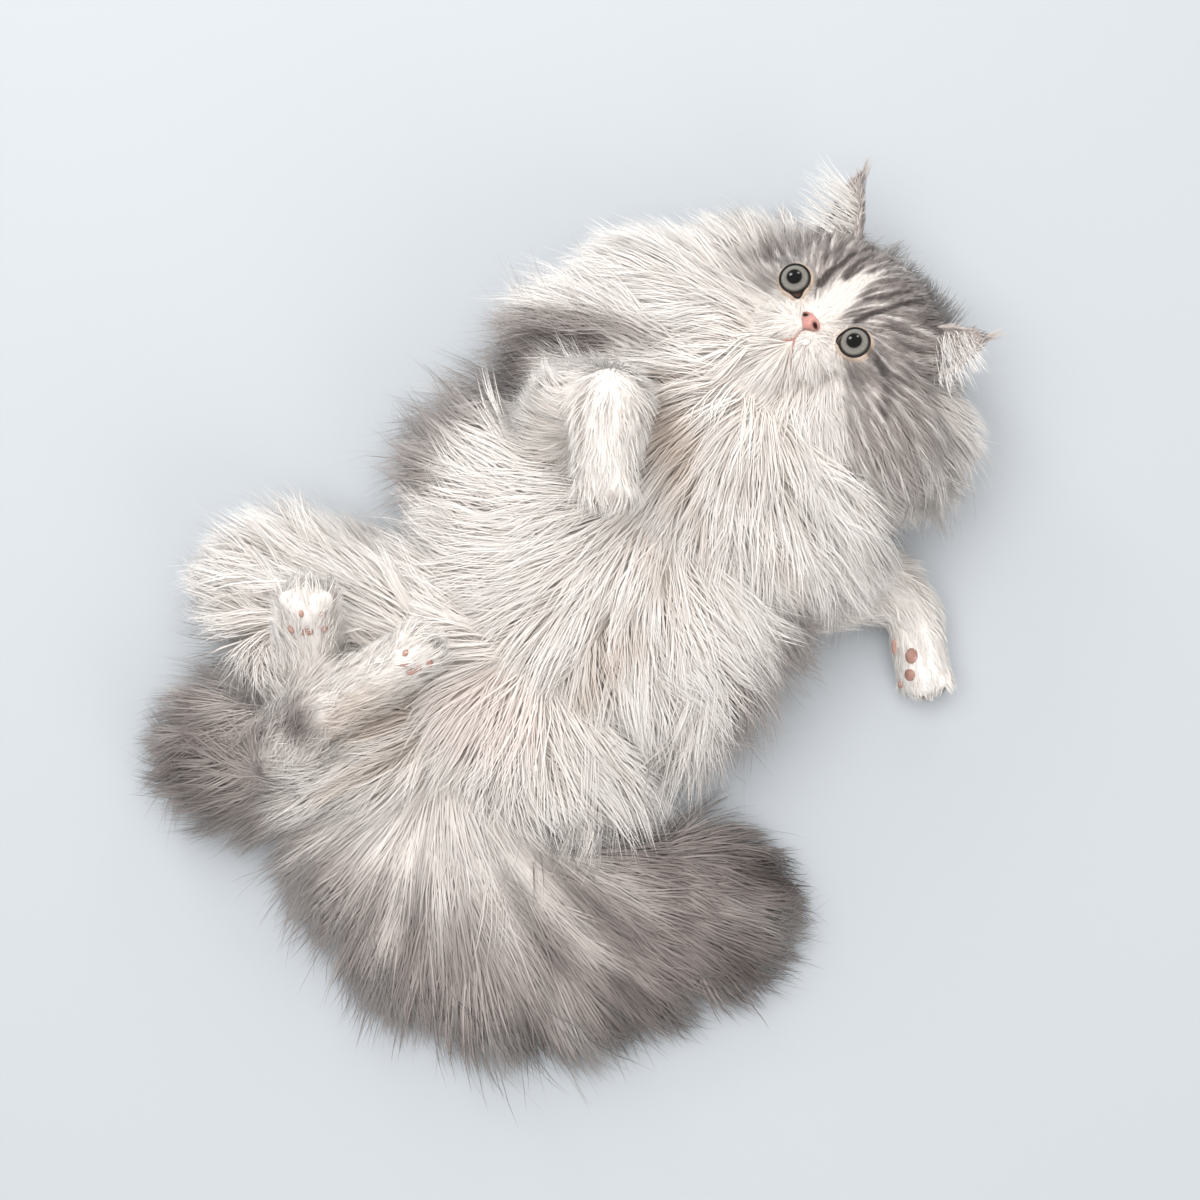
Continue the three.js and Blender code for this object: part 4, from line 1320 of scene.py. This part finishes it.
# %% Where each piece grows
DOWNWARD, UNDERSIDE = -0.35, 0.22
CHEST_FROM = 20
TAIL_SPLIT = 0.45
SHORT_REACH, SHORT_DEEP = 42, -42

on_ear = triangles.min(axis=1) >= FIRST_EAR_VERTEX
less_below = np.where(middle_outs[:, 2] < DOWNWARD, UNDERSIDE, 1.0) * ~on_ear
x, y, z = HEAD.into(middles).T
in_front = z > -24
eye_shares = np.minimum(around_eye(middles, 1)[0], around_eye(middles, -1)[0])
off_eyes = ~(in_front & (eye_shares < 1.2))
off_mouth = ~(in_front & (from_mouth(middles) < 0.9))
off_nose = np.hypot(x / 5.6, (y - NOSE_AT[1]) / 4.0) > 1
furry = off_eyes & off_mouth & (off_nose | ~in_front)
reach_face = np.hypot(x, y + FACE_DROP)
on = {part: owner == part for part in PARTS}
is_head = on["head"] | on["muzzle"]
short_face = is_head & (reach_face < SHORT_REACH) & (z > SHORT_DEEP) & ~on_ear
to_head = TRUNK.into(middles)[:, 0]
chest, belly = on["trunk"] & (to_head > CHEST_FROM), on["trunk"] & (to_head <= CHEST_FROM)
on_tail = nearest_on_tail(middles)
tail_root, tail_tip = on["tail"] & (on_tail < TAIL_SPLIT), on["tail"] & (on_tail >= TAIL_SPLIT)
thighs = on["thigh_left"] | on["thigh_right"]
limbs = np.isin(owner, list(LEGS) + list(PAWS))
print(int(short_face.sum()), "triangles of the skin carry the short hair of the face")

# %% Build the coat
SHARE = 1.0
# fewer tufts have to be wider to cover the skin
WIDER = 1 if SHARE == 1 else 1.6
# name: where, tufts, steps, style, material slot
COATS = {
    "coat_face": (short_face * furry * (1.6 - reach_face / 60), 14600, SHORT, "face", "fur_white"),
    "coat_crown": ((is_head & ~short_face) * less_below, 10500, MIDDLE, "crown", "fur_grey"),
    "coat_neck": (on["neck"] * less_below, 11500, MIDDLE, "neck", "fur_white"),
    "coat_chest": (chest * less_below, 11500, MIDDLE, "body", "fur_white"),
    "coat_belly": (belly * less_below, 11500, MIDDLE, "body", "fur_white"),
    "coat_thighs": (thighs * less_below, 8400, MIDDLE, "body", "fur_grey"),
    "coat_tail_root": (tail_root * less_below, 7000, LONG, "tail", "fur_grey"),
    "coat_tail_tip": (tail_tip * less_below, 7200, LONG, "tail", "fur_grey"),
    "coat_limbs": (limbs, 14000, SHORT, "legs", "fur_white"),
}

for seed, (name, (weight, count, steps, style, slot)) in enumerate(COATS.items(), start=11):
    roots = draw_roots(weight.astype(float), int(count * SHARE), seed)
    look = {**STYLES[style], "width": STYLES[style]["width"] * WIDER}
    build_tufts(name, slot, roots, *tuft_paths(roots, steps, seed + 100, look))

# %% [markdown]
# ## Eyes
# The eyeball is a sphere whose front bulges a little, as the cornea does. A clear dome
# over a flat iris would look deeper, but needs light to pass through it. So the iris and
# pupil are rings round the eye's own axis, stored on the vertices as a radius, and the wet
# gloss comes from a clear coat.

# %% Eyeballs
BULGE, BULGE_RADIUS = 0.5, 6.5
# the radius that stands for the edge of the eyeball and all behind it
BEHIND = 12


def add_eye(side, name):
    middle = np.array([side * EYE_SIDE, 0, EYE_DEEP])
    eye = add_ball(HEAD, middle, [EYE_RADIUS] * 3, 96, 64)
    eye.name = name
    local = HEAD.into(vertices_of(eye)) - middle
    from_axis = np.hypot(local[:, 0], local[:, 1])
    local[:, 2] += np.exp(-((from_axis / BULGE_RADIUS) ** 2)) * (local[:, 2] > 0) * BULGE
    set_vertices(eye, HEAD.aim(local + middle) + HEAD.at)
    eye.data.shade_smooth()
    radius = np.where(local[:, 2] > 0, from_axis, BEHIND)
    add_marks(eye, radius=radius, across=local[:, 0], tall=local[:, 1])
    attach(eye, "root")
    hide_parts("eye_left" if side > 0 else "eye_right")
    return eye


eyes = [add_eye(1, "eyeball_left"), add_eye(-1, "eyeball_right")]
print("eyeballs:", [len(eye.data.vertices) for eye in eyes], "vertices")

# %% [markdown]
# ## Rims of the lids
# A thin dark rim of bare skin lies round each eye and closes the gap between lid and ball.
# Colour alone could draw it, but a bead catches the light as the wet edge of a lid does.
# A torus is bent to the outline of the opening and laid on the ball.

# %% Rims
RIM_SHARE, RIM_SCALE, RIM_RISE = 0.99, 8, 0.55


def add_rim(side, name):
    """A bead of dark skin that follows the opening and the ball under it."""
    deselect()
    bpy.ops.mesh.primitive_torus_add(
        major_radius=1, minor_radius=0.06, major_segments=96, minor_segments=10
    )
    rim = bpy.context.object
    rim.name = name
    ring = np.array([v.co[:] for v in rim.data.vertices])
    angle = np.arctan2(ring[:, 1], ring[:, 0])
    opening = opening_at(angle)
    radius = opening * RIM_SHARE + (np.hypot(ring[:, 0], ring[:, 1]) - 1) * RIM_SCALE
    x, y = radius * np.cos(angle) * side, radius * np.sin(angle)
    ball = np.sqrt(np.clip(EYE_RADIUS**2 - np.minimum(opening, 10) ** 2, 4, None))
    z = ball + RIM_RISE + ring[:, 2] * RIM_SCALE
    local = np.stack([x + side * EYE_SIDE, y, z + EYE_DEEP], axis=1)
    set_vertices(rim, HEAD.at + HEAD.aim(local))
    face_outwards(rim)
    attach(rim, "root")
    return rim


rims = [add_rim(1, "lid_rim_left"), add_rim(-1, "lid_rim_right")]
print("rims:", [rim.name for rim in rims])

# %% [markdown]
# ## Nose leather
# The nose is a small pink wedge, wide at the top, with two comma-shaped nostrils and a
# groove down its middle. The hollows of the nostrils are painted dark as shade. Booleans
# could cut the nostrils, but would leave sharp edges. A sphere whose vertices are moved
# keeps them soft.

# %% Nose
NOSE_SIZE = (6.4, 4.6, 4.0)
NOSTRIL = (3.6, 0.3)
NOSTRIL_DEPTH, GROOVE_DEPTH = 2.4, 0.6
# how wide the nose is at six heights, from its foot to its top
NOSE_HEIGHTS, NOSE_WIDTHS = [-4.6, -2.6, -0.8, 0.8, 3.4, 4.6], [0.25, 0.5, 0.86, 1.0, 1.0, 1.1]


def add_nose():
    nose = add_ball(HEAD, NOSE_AT, NOSE_SIZE, 96, 64)
    nose.name = "nose_leather"
    x, y, z = (HEAD.into(vertices_of(nose)) - NOSE_AT).T
    x = x * np.interp(y, NOSE_HEIGHTS, NOSE_WIDTHS)
    y = np.where(y > 0, y * 0.78, y)
    front = soft(z, -0.5, 1.5)
    dark = np.zeros(len(x))
    for side in (1, -1):
        away = x * side - NOSTRIL[0]
        hole = np.hypot(away / np.where(away > 0, 2.2, 1.3), (y - NOSTRIL[1] + 0.25 * away) / 1.15)
        z = z - front * NOSTRIL_DEPTH * np.exp(-(hole**2))
        # the hollows of the nostrils get painted shade
        dark = np.maximum(dark, np.clip(1.5 * np.exp(-(hole**2)), 0, 1) * front)
    z = z - front * GROOVE_DEPTH * np.exp(-((x / 0.45) ** 2)) * soft(-y, -0.5, 1.5)
    set_vertices(nose, HEAD.aim(np.stack([x, y, z], axis=1) + NOSE_AT) + HEAD.at)
    nose.data.shade_smooth()
    add_marks(nose, dark=dark)
    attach(nose, "root")
    return nose


nose = add_nose()
print("nose:", len(nose.data.vertices), "vertices")

# %% [markdown]
# ## Paw pads
# The pads are soft pink cushions under each toe and palm. A ball is laid on the paw for
# each, and a Remesh and a Smooth modifier melt those of a paw together, as skin does.
# Pads that the photo shows have places of their own. The raised forepaw hides its sole, so
# its pads follow from its toes.

# %% Paw pads
# paw: middle of each pad seen from above, half length, half width, turn
PADS = {
    "forepaw_left": [
        (164.5, -27.8, 4.4, 3.5, 80), (164, -37.8, 3.5, 3.2, 60), (160.5, -42.5, 2.6, 1.6, 40),
        (157, -23, 4.6, 1.5, 72), (144, -14.7, 2.2, 1.6, 40),
    ],
    "hindpaw_left": [
        (-96.3, -34.1, 2.4, 1.9, 70), (-84.5, -33.1, 2.6, 1.7, 100), (-86.5, -39.8, 2.2, 1.5, 30),
        (-92, -41.2, 2.8, 1.9, 0), (-95.5, -28.4, 2.2, 1.5, 60),
    ],
    "hindpaw_right": [
        (-147.9, -8.5, 2.2, 1.6, 90), (-138.4, -9, 2.2, 1.5, 80), (-153.4, -15.9, 2.4, 1.6, 120),
        (-145.9, -17.2, 3.4, 2.2, 0), (-137.9, -15.6, 2.2, 1.5, 60),
    ],
}
PAD_DEEP = 1.7
PAD_VOXEL = 0.0006


def on_skin(start, way):
    hit = skin_tree.ray_cast(Vector(start), Vector(way))[0]
    return None if hit is None else np.array(hit)


def seen_pads(name):
    """Pads at given places, where a ray from above meets the paw."""
    found = []
    for x, y, long, wide, angle in PADS[name]:
        hit, way, _, _ = skin_tree.ray_cast(Vector((x, y, 400)), Vector((0, 0, -1)))
        if hit is None or hit.z < PAWS[name][1][2]:
            print(name, "pad beside the paw at", x, y)
            hit, way, _, _ = skin_tree.find_nearest(Vector((x, y, PAWS[name][1][2] + 12)))
        up = np.array(way) * (1 if way.z > 0 else -1)
        along = turn(0, angle)[:, 0]
        along = unit(along - up * (along @ up))
        axes = np.stack([along, np.cross(up, along), up], axis=1)
        found.append(add_sphere(axes, np.array(hit) + up * 0.9, (long, wide, PAD_DEEP), 24, 16))
    return found


def hidden_pads(name):
    """Pads under the toes and along the palm, where a ray meets the sole."""
    start, end, sole, width, _ = PAWS[name]
    ahead, across, under, toes = paw_eggs(start, end, sole, width)
    axes = np.stack([across, ahead, under], axis=1)
    spots = [(toe + ahead * 1.5, (3.0, 3.8, 2.2)) for toe in toes]
    spots += [(np.array(end) - ahead * 4 + across * k, (4.4, 4.2, 2.6)) for k in (-4, 0, 4)]
    found = []
    for spot, size in spots:
        at = on_skin(spot + under * 40, -under) + under * 0.8
        found.append(add_sphere(axes, at, size, 24, 16))
    return found


def add_pads(name):
    whole = join(seen_pads(name) if name in PADS else hidden_pads(name), name + "_pads")
    apply(whole, "REMESH", mode="VOXEL", voxel_size=PAD_VOXEL, adaptivity=0)
    apply(whole, "SMOOTH", factor=0.5, iterations=5)
    whole.data.shade_smooth()
    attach(whole, "root")
    return whole


pads = [add_pads(name) for name in PAWS]
print("pads:", [len(p.data.polygons) for p in pads])

# %% [markdown]
# ## Ear hair
# Long white hairs grow from the inner edge of each ear and sweep out past its tip, a fine
# tuft crowns it, and short fur covers both its sides. The coat's own combing would lay
# them all flat. So the long ones get paths of their own and only the mesh is built as for
# any tuft.

# %% Ear hair
# ear: which way its long hair sweeps, in the head's frame, and how long it is
SWEEP = {"left": ((0.86, -0.4, 0.12), 30), "right": ((-0.93, -0.3, 0.2), 38)}
EAR_FUR_LENGTH, EAR_FUR_DEPTH = 6.5, 1.6
EAR_SHARE = max(SHARE, 0.5)


def plain_roots(at, out, **marks):
    """Roots with one marking for all, and the unwrap place of the nearest skin."""
    uv = np.zeros((len(at), 2))
    for i, p in enumerate(at):
        face = skin_tree.find_nearest(Vector(p))[2]
        uv[i] = skin_uv[triangle_loops[face]].mean(axis=0)
    roots = {"at": at, "out": unit(out), "uv": uv}
    for key in MARKS:
        roots[key] = np.full(len(at), marks.get(key, 0.0))
    return roots


def ear_fur(seed):
    """Short fur on both sides of both ears, combed to the tip."""
    roots = draw_roots(on_ear.astype(float), int(2600 * EAR_SHARE), seed)
    count = len(roots["at"])
    is_left = HEAD.into(roots["at"])[:, 0] > 0
    inside = np.zeros(count, bool)
    for side, mine in (("left", is_left), ("right", ~is_left)):
        _, axis, front, _, _ = ear_axes(*EARS[side])
        flat = axis - roots["out"] * (roots["out"] @ axis)[:, None]
        roots["lie"] = np.where(mine[:, None], unit(flat), roots["lie"])
        inside |= mine & (roots["out"] @ front > 0.1)
    roots["length"], roots["depth"] = np.full(count, EAR_FUR_LENGTH), np.full(count, EAR_FUR_DEPTH)
    del roots["shares"]
    for key, within, without in (("grey", 0.6, 0.9), ("dark", 0.0, 0.1), ("pink", 0.1, 0.0)):
        roots[key] = np.where(inside, within, without)
    roots["warm"] = np.full(count, BODY_WARM)
    path, width, shade = tuft_paths(roots, SHORT, seed, STYLES["ears"])
    return roots, path, width, 0.4 + 0.3 * shade


def ear_hair(side, seed):
    """Long white hair from the inside of the cup, sweeping out over its edge."""
    draw = np.random.default_rng(seed)
    base, axis, front, across, tall = ear_axes(*EARS[side])
    count = int(270 * EAR_SHARE)
    v = draw.uniform(0.0, 0.7, count)
    edge = draw.uniform(-0.85, 0.85, count)
    half = ear_half_width(v)
    at = base + (v * tall)[:, None] * axis + (half * edge)[:, None] * across
    at = at - (half * (0.5 - 0.35 * edge**2))[:, None] * front
    spread = draw.normal(size=(count, 3)) * 0.17
    sweep, longest = SWEEP[side]
    first = unit(front * 0.7 + axis * 0.3 + HEAD.aim(sweep) * 0.5 + spread)
    last = unit(HEAD.aim(sweep) + axis * 0.25 * v[:, None] + spread)
    length = longest * draw.uniform(0.3, 1.0, count) ** 1.2 * (1.1 - 0.3 * v)
    path = curved(at, first, last, length, LONG)
    return plain_roots(at, first, grey=0.05), path, draw.uniform(0.25, 0.45, count), draw.random(count)


def ear_tip(side, seed):
    """A wisp that carries the tip of the ear on."""
    draw = np.random.default_rng(seed)
    base, axis, front, across, tall = ear_axes(*EARS[side])
    count = 34
    at = base + axis * (tall * draw.uniform(0.8, 0.96, count))[:, None]
    at = at + across * draw.normal(size=(count, 1)) * 1.0
    spread = draw.normal(size=(count, 3)) * 0.06
    path = curved(at, unit(axis + spread), unit(axis + spread * 2.0), draw.uniform(5, 16, count), LONG)
    roots = plain_roots(at, np.tile(front, (count, 1)), grey=0.45, warm=0.6)
    return roots, path, draw.uniform(0.28, 0.45, count), draw.random(count)


def together(*groups):
    roots = {key: np.concatenate([g[0][key] for g in groups]) for key in groups[0][0]}
    return (roots, *(np.concatenate([g[i] for g in groups]) for i in (1, 2, 3)))


hair = together(ear_hair("left", 5), ear_hair("right", 6), ear_tip("left", 7), ear_tip("right", 8))
build_tufts("ear_hair", "fur_white", *hair)
build_tufts("ear_coat", "fur_grey", *ear_fur(31))

# %% [markdown]
# ## Whiskers
# Whiskers are single stiff hairs in short rows on both pads of the muzzle. Each
# leaves the lip forwards and bends over to the side. They could be thin cones, but as
# tufts they share the coat's code, unwrap and material.

# %% Whiskers
WHISKER_WIDTH = 0.26


def whiskers(seed):
    draw = np.random.default_rng(seed)
    starts, firsts, lasts, lengths = [], [], [], []
    for side in (1, -1):
        for row in range(3):
            for k in range(4):
                x, y = side * (9.5 + k * 2.4), -12.5 - row * 3.2 - k * 0.5
                starts.append(on_skin(HEAD.out(x, y, 40), -HEAD.aim((0, 0, 1))))
                firsts.append(HEAD.aim((side * 0.8, -0.25 - 0.15 * row, 0.75)))
                lasts.append(HEAD.aim((side * 0.9, -0.55 - 0.25 * row, 0.0)))
                lengths.append(draw.uniform(26, 48))
    at, first, last = np.array(starts), unit(np.array(firsts)), unit(np.array(lasts))
    path = curved(at, first, last, np.array(lengths), LONG)
    return plain_roots(at, first), path, np.full(len(at), WHISKER_WIDTH), draw.random(len(at))


build_tufts("whiskers", "fur_white", *whiskers(9))

# %% [markdown]
# ## Colours of the coat
# White hair is painted cream at the root, as shade deep in the coat, and clean at the tip.
# Grey hair is pale at the root and darkens outwards. Cream is a tone of the body, the tear
# stains and the lids, and painted shade in creases and under the top layers. Every tuft is
# a little lighter or darker than its neighbour. Each material could mix this for itself,
# but skin and coat then might drift apart, so a node group does it once for both.

# %% The colour group
GROUP_INPUTS = ("Grey", "Dark", "Pink", "Warm", "Along", "Vary")


def colour(code):
    """A web colour as the linear values that the shader takes."""
    parts = [int(code[i : i + 2], 16) / 255 for i in (1, 3, 5)]
    return tuple(((c + 0.055) / 1.055) ** 2.4 if c > 0.04045 else c / 12.92 for c in parts) + (1.0,)


# the cream root of white hair is painted shade of the deep coat
SHADED_WHITE_ROOT, WHITE_TIP = colour("#efe4da"), colour("#fffdfb")
GREY_ROOT, GREY_TIP = colour("#c6bcb7"), colour("#8a807d")
DARK = colour("#3d3634")
WARM_ROOT, WARM_TIP = colour("#ad9480"), colour("#dfcdbd")
SKIN_PINK = colour("#eec9be")


def feed(tree, socket, value):
    """Link an output to a socket, or write a plain value into it."""
    if isinstance(value, bpy.types.NodeSocket):
        tree.links.new(value, socket)
    else:
        socket.default_value = value


def add_node(tree, kind, **inputs):
    node = tree.nodes.new("ShaderNode" + kind)
    for name, value in inputs.items():
        feed(tree, node.inputs[name], value)
    return node


def mix_node(tree, factor, a, b, blend="MIX"):
    node = add_node(tree, "Mix")
    node.data_type = "RGBA"
    node.blend_type = blend
    for place, value in ((0, factor), (6, a), (7, b)):
        feed(tree, node.inputs[place], value)
    return node.outputs[2]


def math_node(tree, operation, *values):
    node = add_node(tree, "Math")
    node.operation = operation
    for socket, value in zip(node.inputs, values):
        feed(tree, socket, value)
    return node.outputs[0]


coat_group = bpy.data.node_groups.new("coat colours", "ShaderNodeTree")
for name in GROUP_INPUTS:
    coat_group.interface.new_socket(name=name, in_out="INPUT", socket_type="NodeSocketFloat")
coat_group.interface.new_socket(name="Color", in_out="OUTPUT", socket_type="NodeSocketColor")
inside = coat_group.nodes.new("NodeGroupInput").outputs
result = coat_group.nodes.new("NodeGroupOutput").inputs
outer = math_node(coat_group, "POWER", inside["Along"], 0.7)
white = mix_node(coat_group, outer, SHADED_WHITE_ROOT, WHITE_TIP)
silver = mix_node(coat_group, outer, GREY_ROOT, GREY_TIP)
cream = mix_node(coat_group, outer, WARM_ROOT, WARM_TIP)
# cream where warm says: tone of tear stains and lids, and painted shade in creases and under the top layers
warmed = mix_node(coat_group, inside["Warm"], white, cream)
mixed = mix_node(coat_group, inside["Grey"], warmed, silver)
depth = math_node(coat_group, "MULTIPLY_ADD", outer, 0.3, 0.7)
darkened = mix_node(coat_group, math_node(coat_group, "MULTIPLY", inside["Dark"], depth), mixed, DARK)
pinked = mix_node(coat_group, inside["Pink"], darkened, SKIN_PINK)
swing_light = math_node(coat_group, "MULTIPLY_ADD", inside["Grey"], 0.36, 0.12)
off_middle = math_node(coat_group, "SUBTRACT", inside["Vary"], 0.5)
lightness = math_node(coat_group, "MULTIPLY_ADD", off_middle, swing_light, 0.98)
tint = add_node(coat_group, "CombineColor")
for socket in tint.inputs:
    coat_group.links.new(lightness, socket)
final = mix_node(coat_group, 1.0, pinked, tint.outputs[0], "MULTIPLY")
coat_group.links.new(final, result["Color"])
print("colour group:", len(coat_group.nodes), "nodes")

# %% [markdown]
# ## Fur and skin
# Fur shines softly across the hairs, and the skin between them is matt and slightly rough.
# A hair shader is made for curves. So the fur is a rough Principled shader
# with a sheen, and the skin has a bump from a fine noise.

# %% Materials of coat and skin


def mark_node(tree, name):
    node = add_node(tree, "Attribute")
    node.attribute_type = "GEOMETRY"
    node.attribute_name = name
    return node.outputs["Fac"]


def new_material(name, settings):
    """A material with its tree and its shader, some of whose sockets are set by name."""
    material = bpy.data.materials.new(name)
    material.use_nodes = True
    shader = material.node_tree.nodes["Principled BSDF"]
    for key, value in settings.items():
        shader.inputs[key].default_value = value
    return material, material.node_tree, shader


def coat_colour(tree):
    group = add_node(tree, "Group")
    group.node_tree = coat_group
    for name in GROUP_INPUTS:
        tree.links.new(mark_node(tree, name.lower()), group.inputs[name])
    return group.outputs["Color"]


def add_bump(tree, shader, height, strength, distance):
    bump = add_node(tree, "Bump", Strength=strength, Distance=distance, Height=height)
    tree.links.new(bump.outputs["Normal"], shader.inputs["Normal"])


def dress(pieces, material):
    for piece in pieces:
        piece.data.materials.clear()
        piece.data.materials.append(material)


sheen = {"Sheen Weight": 0.4, "Sheen Roughness": 0.5}
fur, tree, shader = new_material("fur", {"Roughness": 0.62, "Specular IOR Level": 0.15, **sheen})
tree.links.new(coat_colour(tree), shader.inputs["Base Color"])
dress(coats, fur)

hide, tree, shader = new_material("skin", {"Roughness": 0.7, "Specular IOR Level": 0.2})
lipped = mix_node(tree, mark_node(tree, "lips"), coat_colour(tree), colour("#9c635c"))
rimmed = mix_node(tree, mark_node(tree, "rim"), lipped, colour("#1d1716"))
tree.links.new(rimmed, shader.inputs["Base Color"])
where = add_node(tree, "TexCoord").outputs["Object"]
noise = add_node(tree, "TexNoise", Scale=900, Detail=3, Vector=where)
add_bump(tree, shader, noise.outputs["Fac"], 0.5, 0.0006)
dress([skin], hide)
print("fur on", len(coats), "pieces")

# %% [markdown]
# ## Iris and pupil
# The iris is grey-green, lighter in the middle with fine rays, and ends in a dark ring. The
# pupil is round and black. A painted picture would do, but needs an unwrap of its own. A
# colour ramp over the radius gives the rings, and a noise round the axis gives the rays.

# %% Eye and rim materials
PUPIL = 3.6


def ramp_node(tree, value, stops):
    node = add_node(tree, "ValToRGB")
    while len(node.color_ramp.elements) < len(stops):
        node.color_ramp.elements.new(0.5)
    for element, (place, shade) in zip(node.color_ramp.elements, stops):
        element.position = place
        element.color = shade
    tree.links.new(value, node.inputs[0])
    return node.outputs[0]


wet = {"Roughness": 0.08, "Coat Weight": 0.7, "Coat Roughness": 0.02, "Specular IOR Level": 0.1}
iris, tree, shader = new_material("eye", wet)
radius = mark_node(tree, "radius")
black = colour("#010101")
stops = [
    (0.0, black), (PUPIL / BEHIND, black), ((PUPIL + 0.3) / BEHIND, colour("#575550")),
    (0.38, colour("#86837c")), (0.5, colour("#918e87")), (0.565, colour("#6a6761")),
    (0.6, colour("#1c1a17")), (0.66, colour("#2c211d")), (0.72, colour("#5d463d")),
]
base = ramp_node(tree, math_node(tree, "DIVIDE", radius, BEHIND), stops)
around = math_node(tree, "ARCTAN2", mark_node(tree, "tall"), mark_node(tree, "across"))
rays = add_node(tree, "CombineXYZ")
tree.links.new(math_node(tree, "MULTIPLY", around, 9.0), rays.inputs[0])
tree.links.new(math_node(tree, "MULTIPLY", radius, 0.35), rays.inputs[1])
fibres = add_node(tree, "TexNoise", Scale=2.2, Detail=4, Vector=rays.outputs[0])
streaks = ramp_node(tree, fibres.outputs["Fac"], [(0.3, colour("#c4c4c4")), (0.7, colour("#ffffff"))])
tree.links.new(mix_node(tree, 1.0, base, streaks, "MULTIPLY"), shader.inputs["Base Color"])
dress(eyes, iris)

rim_skin, tree, shader = new_material("lid rim", {"Roughness": 0.35, "Base Color": colour("#1a1413")})
dress(rims, rim_skin)
print("rings of the iris:", len(stops))

# %% [markdown]
# ## Leather of nose and pads
# Nose and pads are matt pink leather with a fine grain and a slightly uneven tone. Scanned
# leather would be truer, but there is no picture of it to use. A noise gives the tone, and
# the cells of a Voronoi texture give the grain as a bump.

# %% Nose and pad materials


def leather(name, light, deep, roughness):
    material, tree, shader = new_material(name, {"Roughness": roughness})
    where = add_node(tree, "TexCoord").outputs["Object"]
    blotch = add_node(tree, "TexNoise", Scale=160, Vector=where)
    tone = ramp_node(tree, blotch.outputs["Fac"], [(0.3, deep), (0.7, light)])
    grain = add_node(tree, "TexVoronoi", Scale=1500, Vector=where)
    add_bump(tree, shader, grain.outputs["Distance"], 0.35, 0.0003)
    return material, tree, shader, tone


nose_skin, tree, shader, tone = leather("nose leather", colour("#d39c93"), colour("#b8827a"), 0.5)
# pink leather, with painted shade in the nostrils
tree.links.new(mix_node(tree, mark_node(tree, "dark"), tone, colour("#2a1210")), shader.inputs["Base Color"])
dress([nose], nose_skin)
pad_skin, tree, shader, tone = leather("paw pad", colour("#bf9a8d"), colour("#9b766b"), 0.6)
tree.links.new(tone, shader.inputs["Base Color"])
dress(pads, pad_skin)
print("leather:", nose_skin.name, "and", pad_skin.name)

# %% [markdown]
# ## Floor
# The studio is a plain pale floor. The bed of the photo is left out, and a curved backdrop
# would show no more than this from above, so one plane is enough.

# %% Floor
deselect()
bpy.ops.mesh.primitive_plane_add(size=8, location=(0, 0, 0))
floor = bpy.context.object
floor.name = "floor"
pale = new_material("pale floor", {"Roughness": 0.9, "Base Color": colour("#b9bec3")})[0]
dress([floor], pale)
print("floor:", tuple(round(v, 2) for v in floor.dimensions[:2]), "m")

# %% [markdown]
# ## Light
# The photo's light is soft, and a bright spot in each eye tells of a window past the cat's
# crown. A picture of a sky could light the scene, but discs are easier
# to aim. Two small ones make the spots, and two wide ones and a pale world light the coat.

# %% Light


def add_light(name, at, aim, size, power, glossy=True):
    data = bpy.data.lights.new(name, "AREA")
    data.shape = "DISK"
    data.size = size
    data.energy = power
    light = bpy.data.objects.new(name, data)
    bpy.context.scene.collection.objects.link(light)
    light.location = at
    light.rotation_euler = (Vector(aim) - Vector(at)).to_track_quat("-Z", "Y").to_euler()
    light.visible_glossy = glossy


FACE = Vector(metres(HEAD.at))
add_light("softbox", FACE + Vector((-0.72, 0.96, 0.62)), FACE, 0.42, 4)
add_light("window", FACE + Vector((0.24, 1.1, 0.66)), FACE, 0.3, 1.6)
add_light("overhead", (-0.3, 0.4, 2.1), (0, 0, 0), 2.4, 49, glossy=False)
add_light("fill", (1.2, -1.4, 1.5), (0, 0, 0.05), 1.4, 10, glossy=False)
world = bpy.data.worlds.new("studio")
world.use_nodes = True
world.node_tree.nodes["Background"].inputs[0].default_value = colour("#f6f3f0")
world.node_tree.nodes["Background"].inputs[1].default_value = 0.62
bpy.context.scene.world = world
bpy.context.scene.view_settings.view_transform = "Standard"
print("lights:", [light.name for light in bpy.data.lights])

# %% [markdown]
# ## Camera
# The camera looks almost straight down, as in the photo. A telephoto lens from far away
# would flatten the cat. From 1.3 metres the paws that stand nearer look a little bigger,
# as they do there.

# %% Camera
VIEW_HEIGHT = 100
VIEW_DISTANCE = 1300
HALF_VIEW = 300
TILT = math.radians(2.5)
TARGET_HEIGHT = 65
camera_data = bpy.data.cameras.new("camera")
camera_data.angle = 2 * math.atan(HALF_VIEW / VIEW_DISTANCE)
camera = bpy.data.objects.new("camera", camera_data)
bpy.context.scene.collection.objects.link(camera)
target = Vector(metres((0, 0, TARGET_HEIGHT)))
distance = (VIEW_DISTANCE + VIEW_HEIGHT - TARGET_HEIGHT) / 1000
camera.location = target + distance * Vector((0, -math.sin(TILT), math.cos(TILT)))
camera.rotation_euler = (TILT, 0, 0)
bpy.context.scene.camera = camera
print("camera at", camera.location[:])
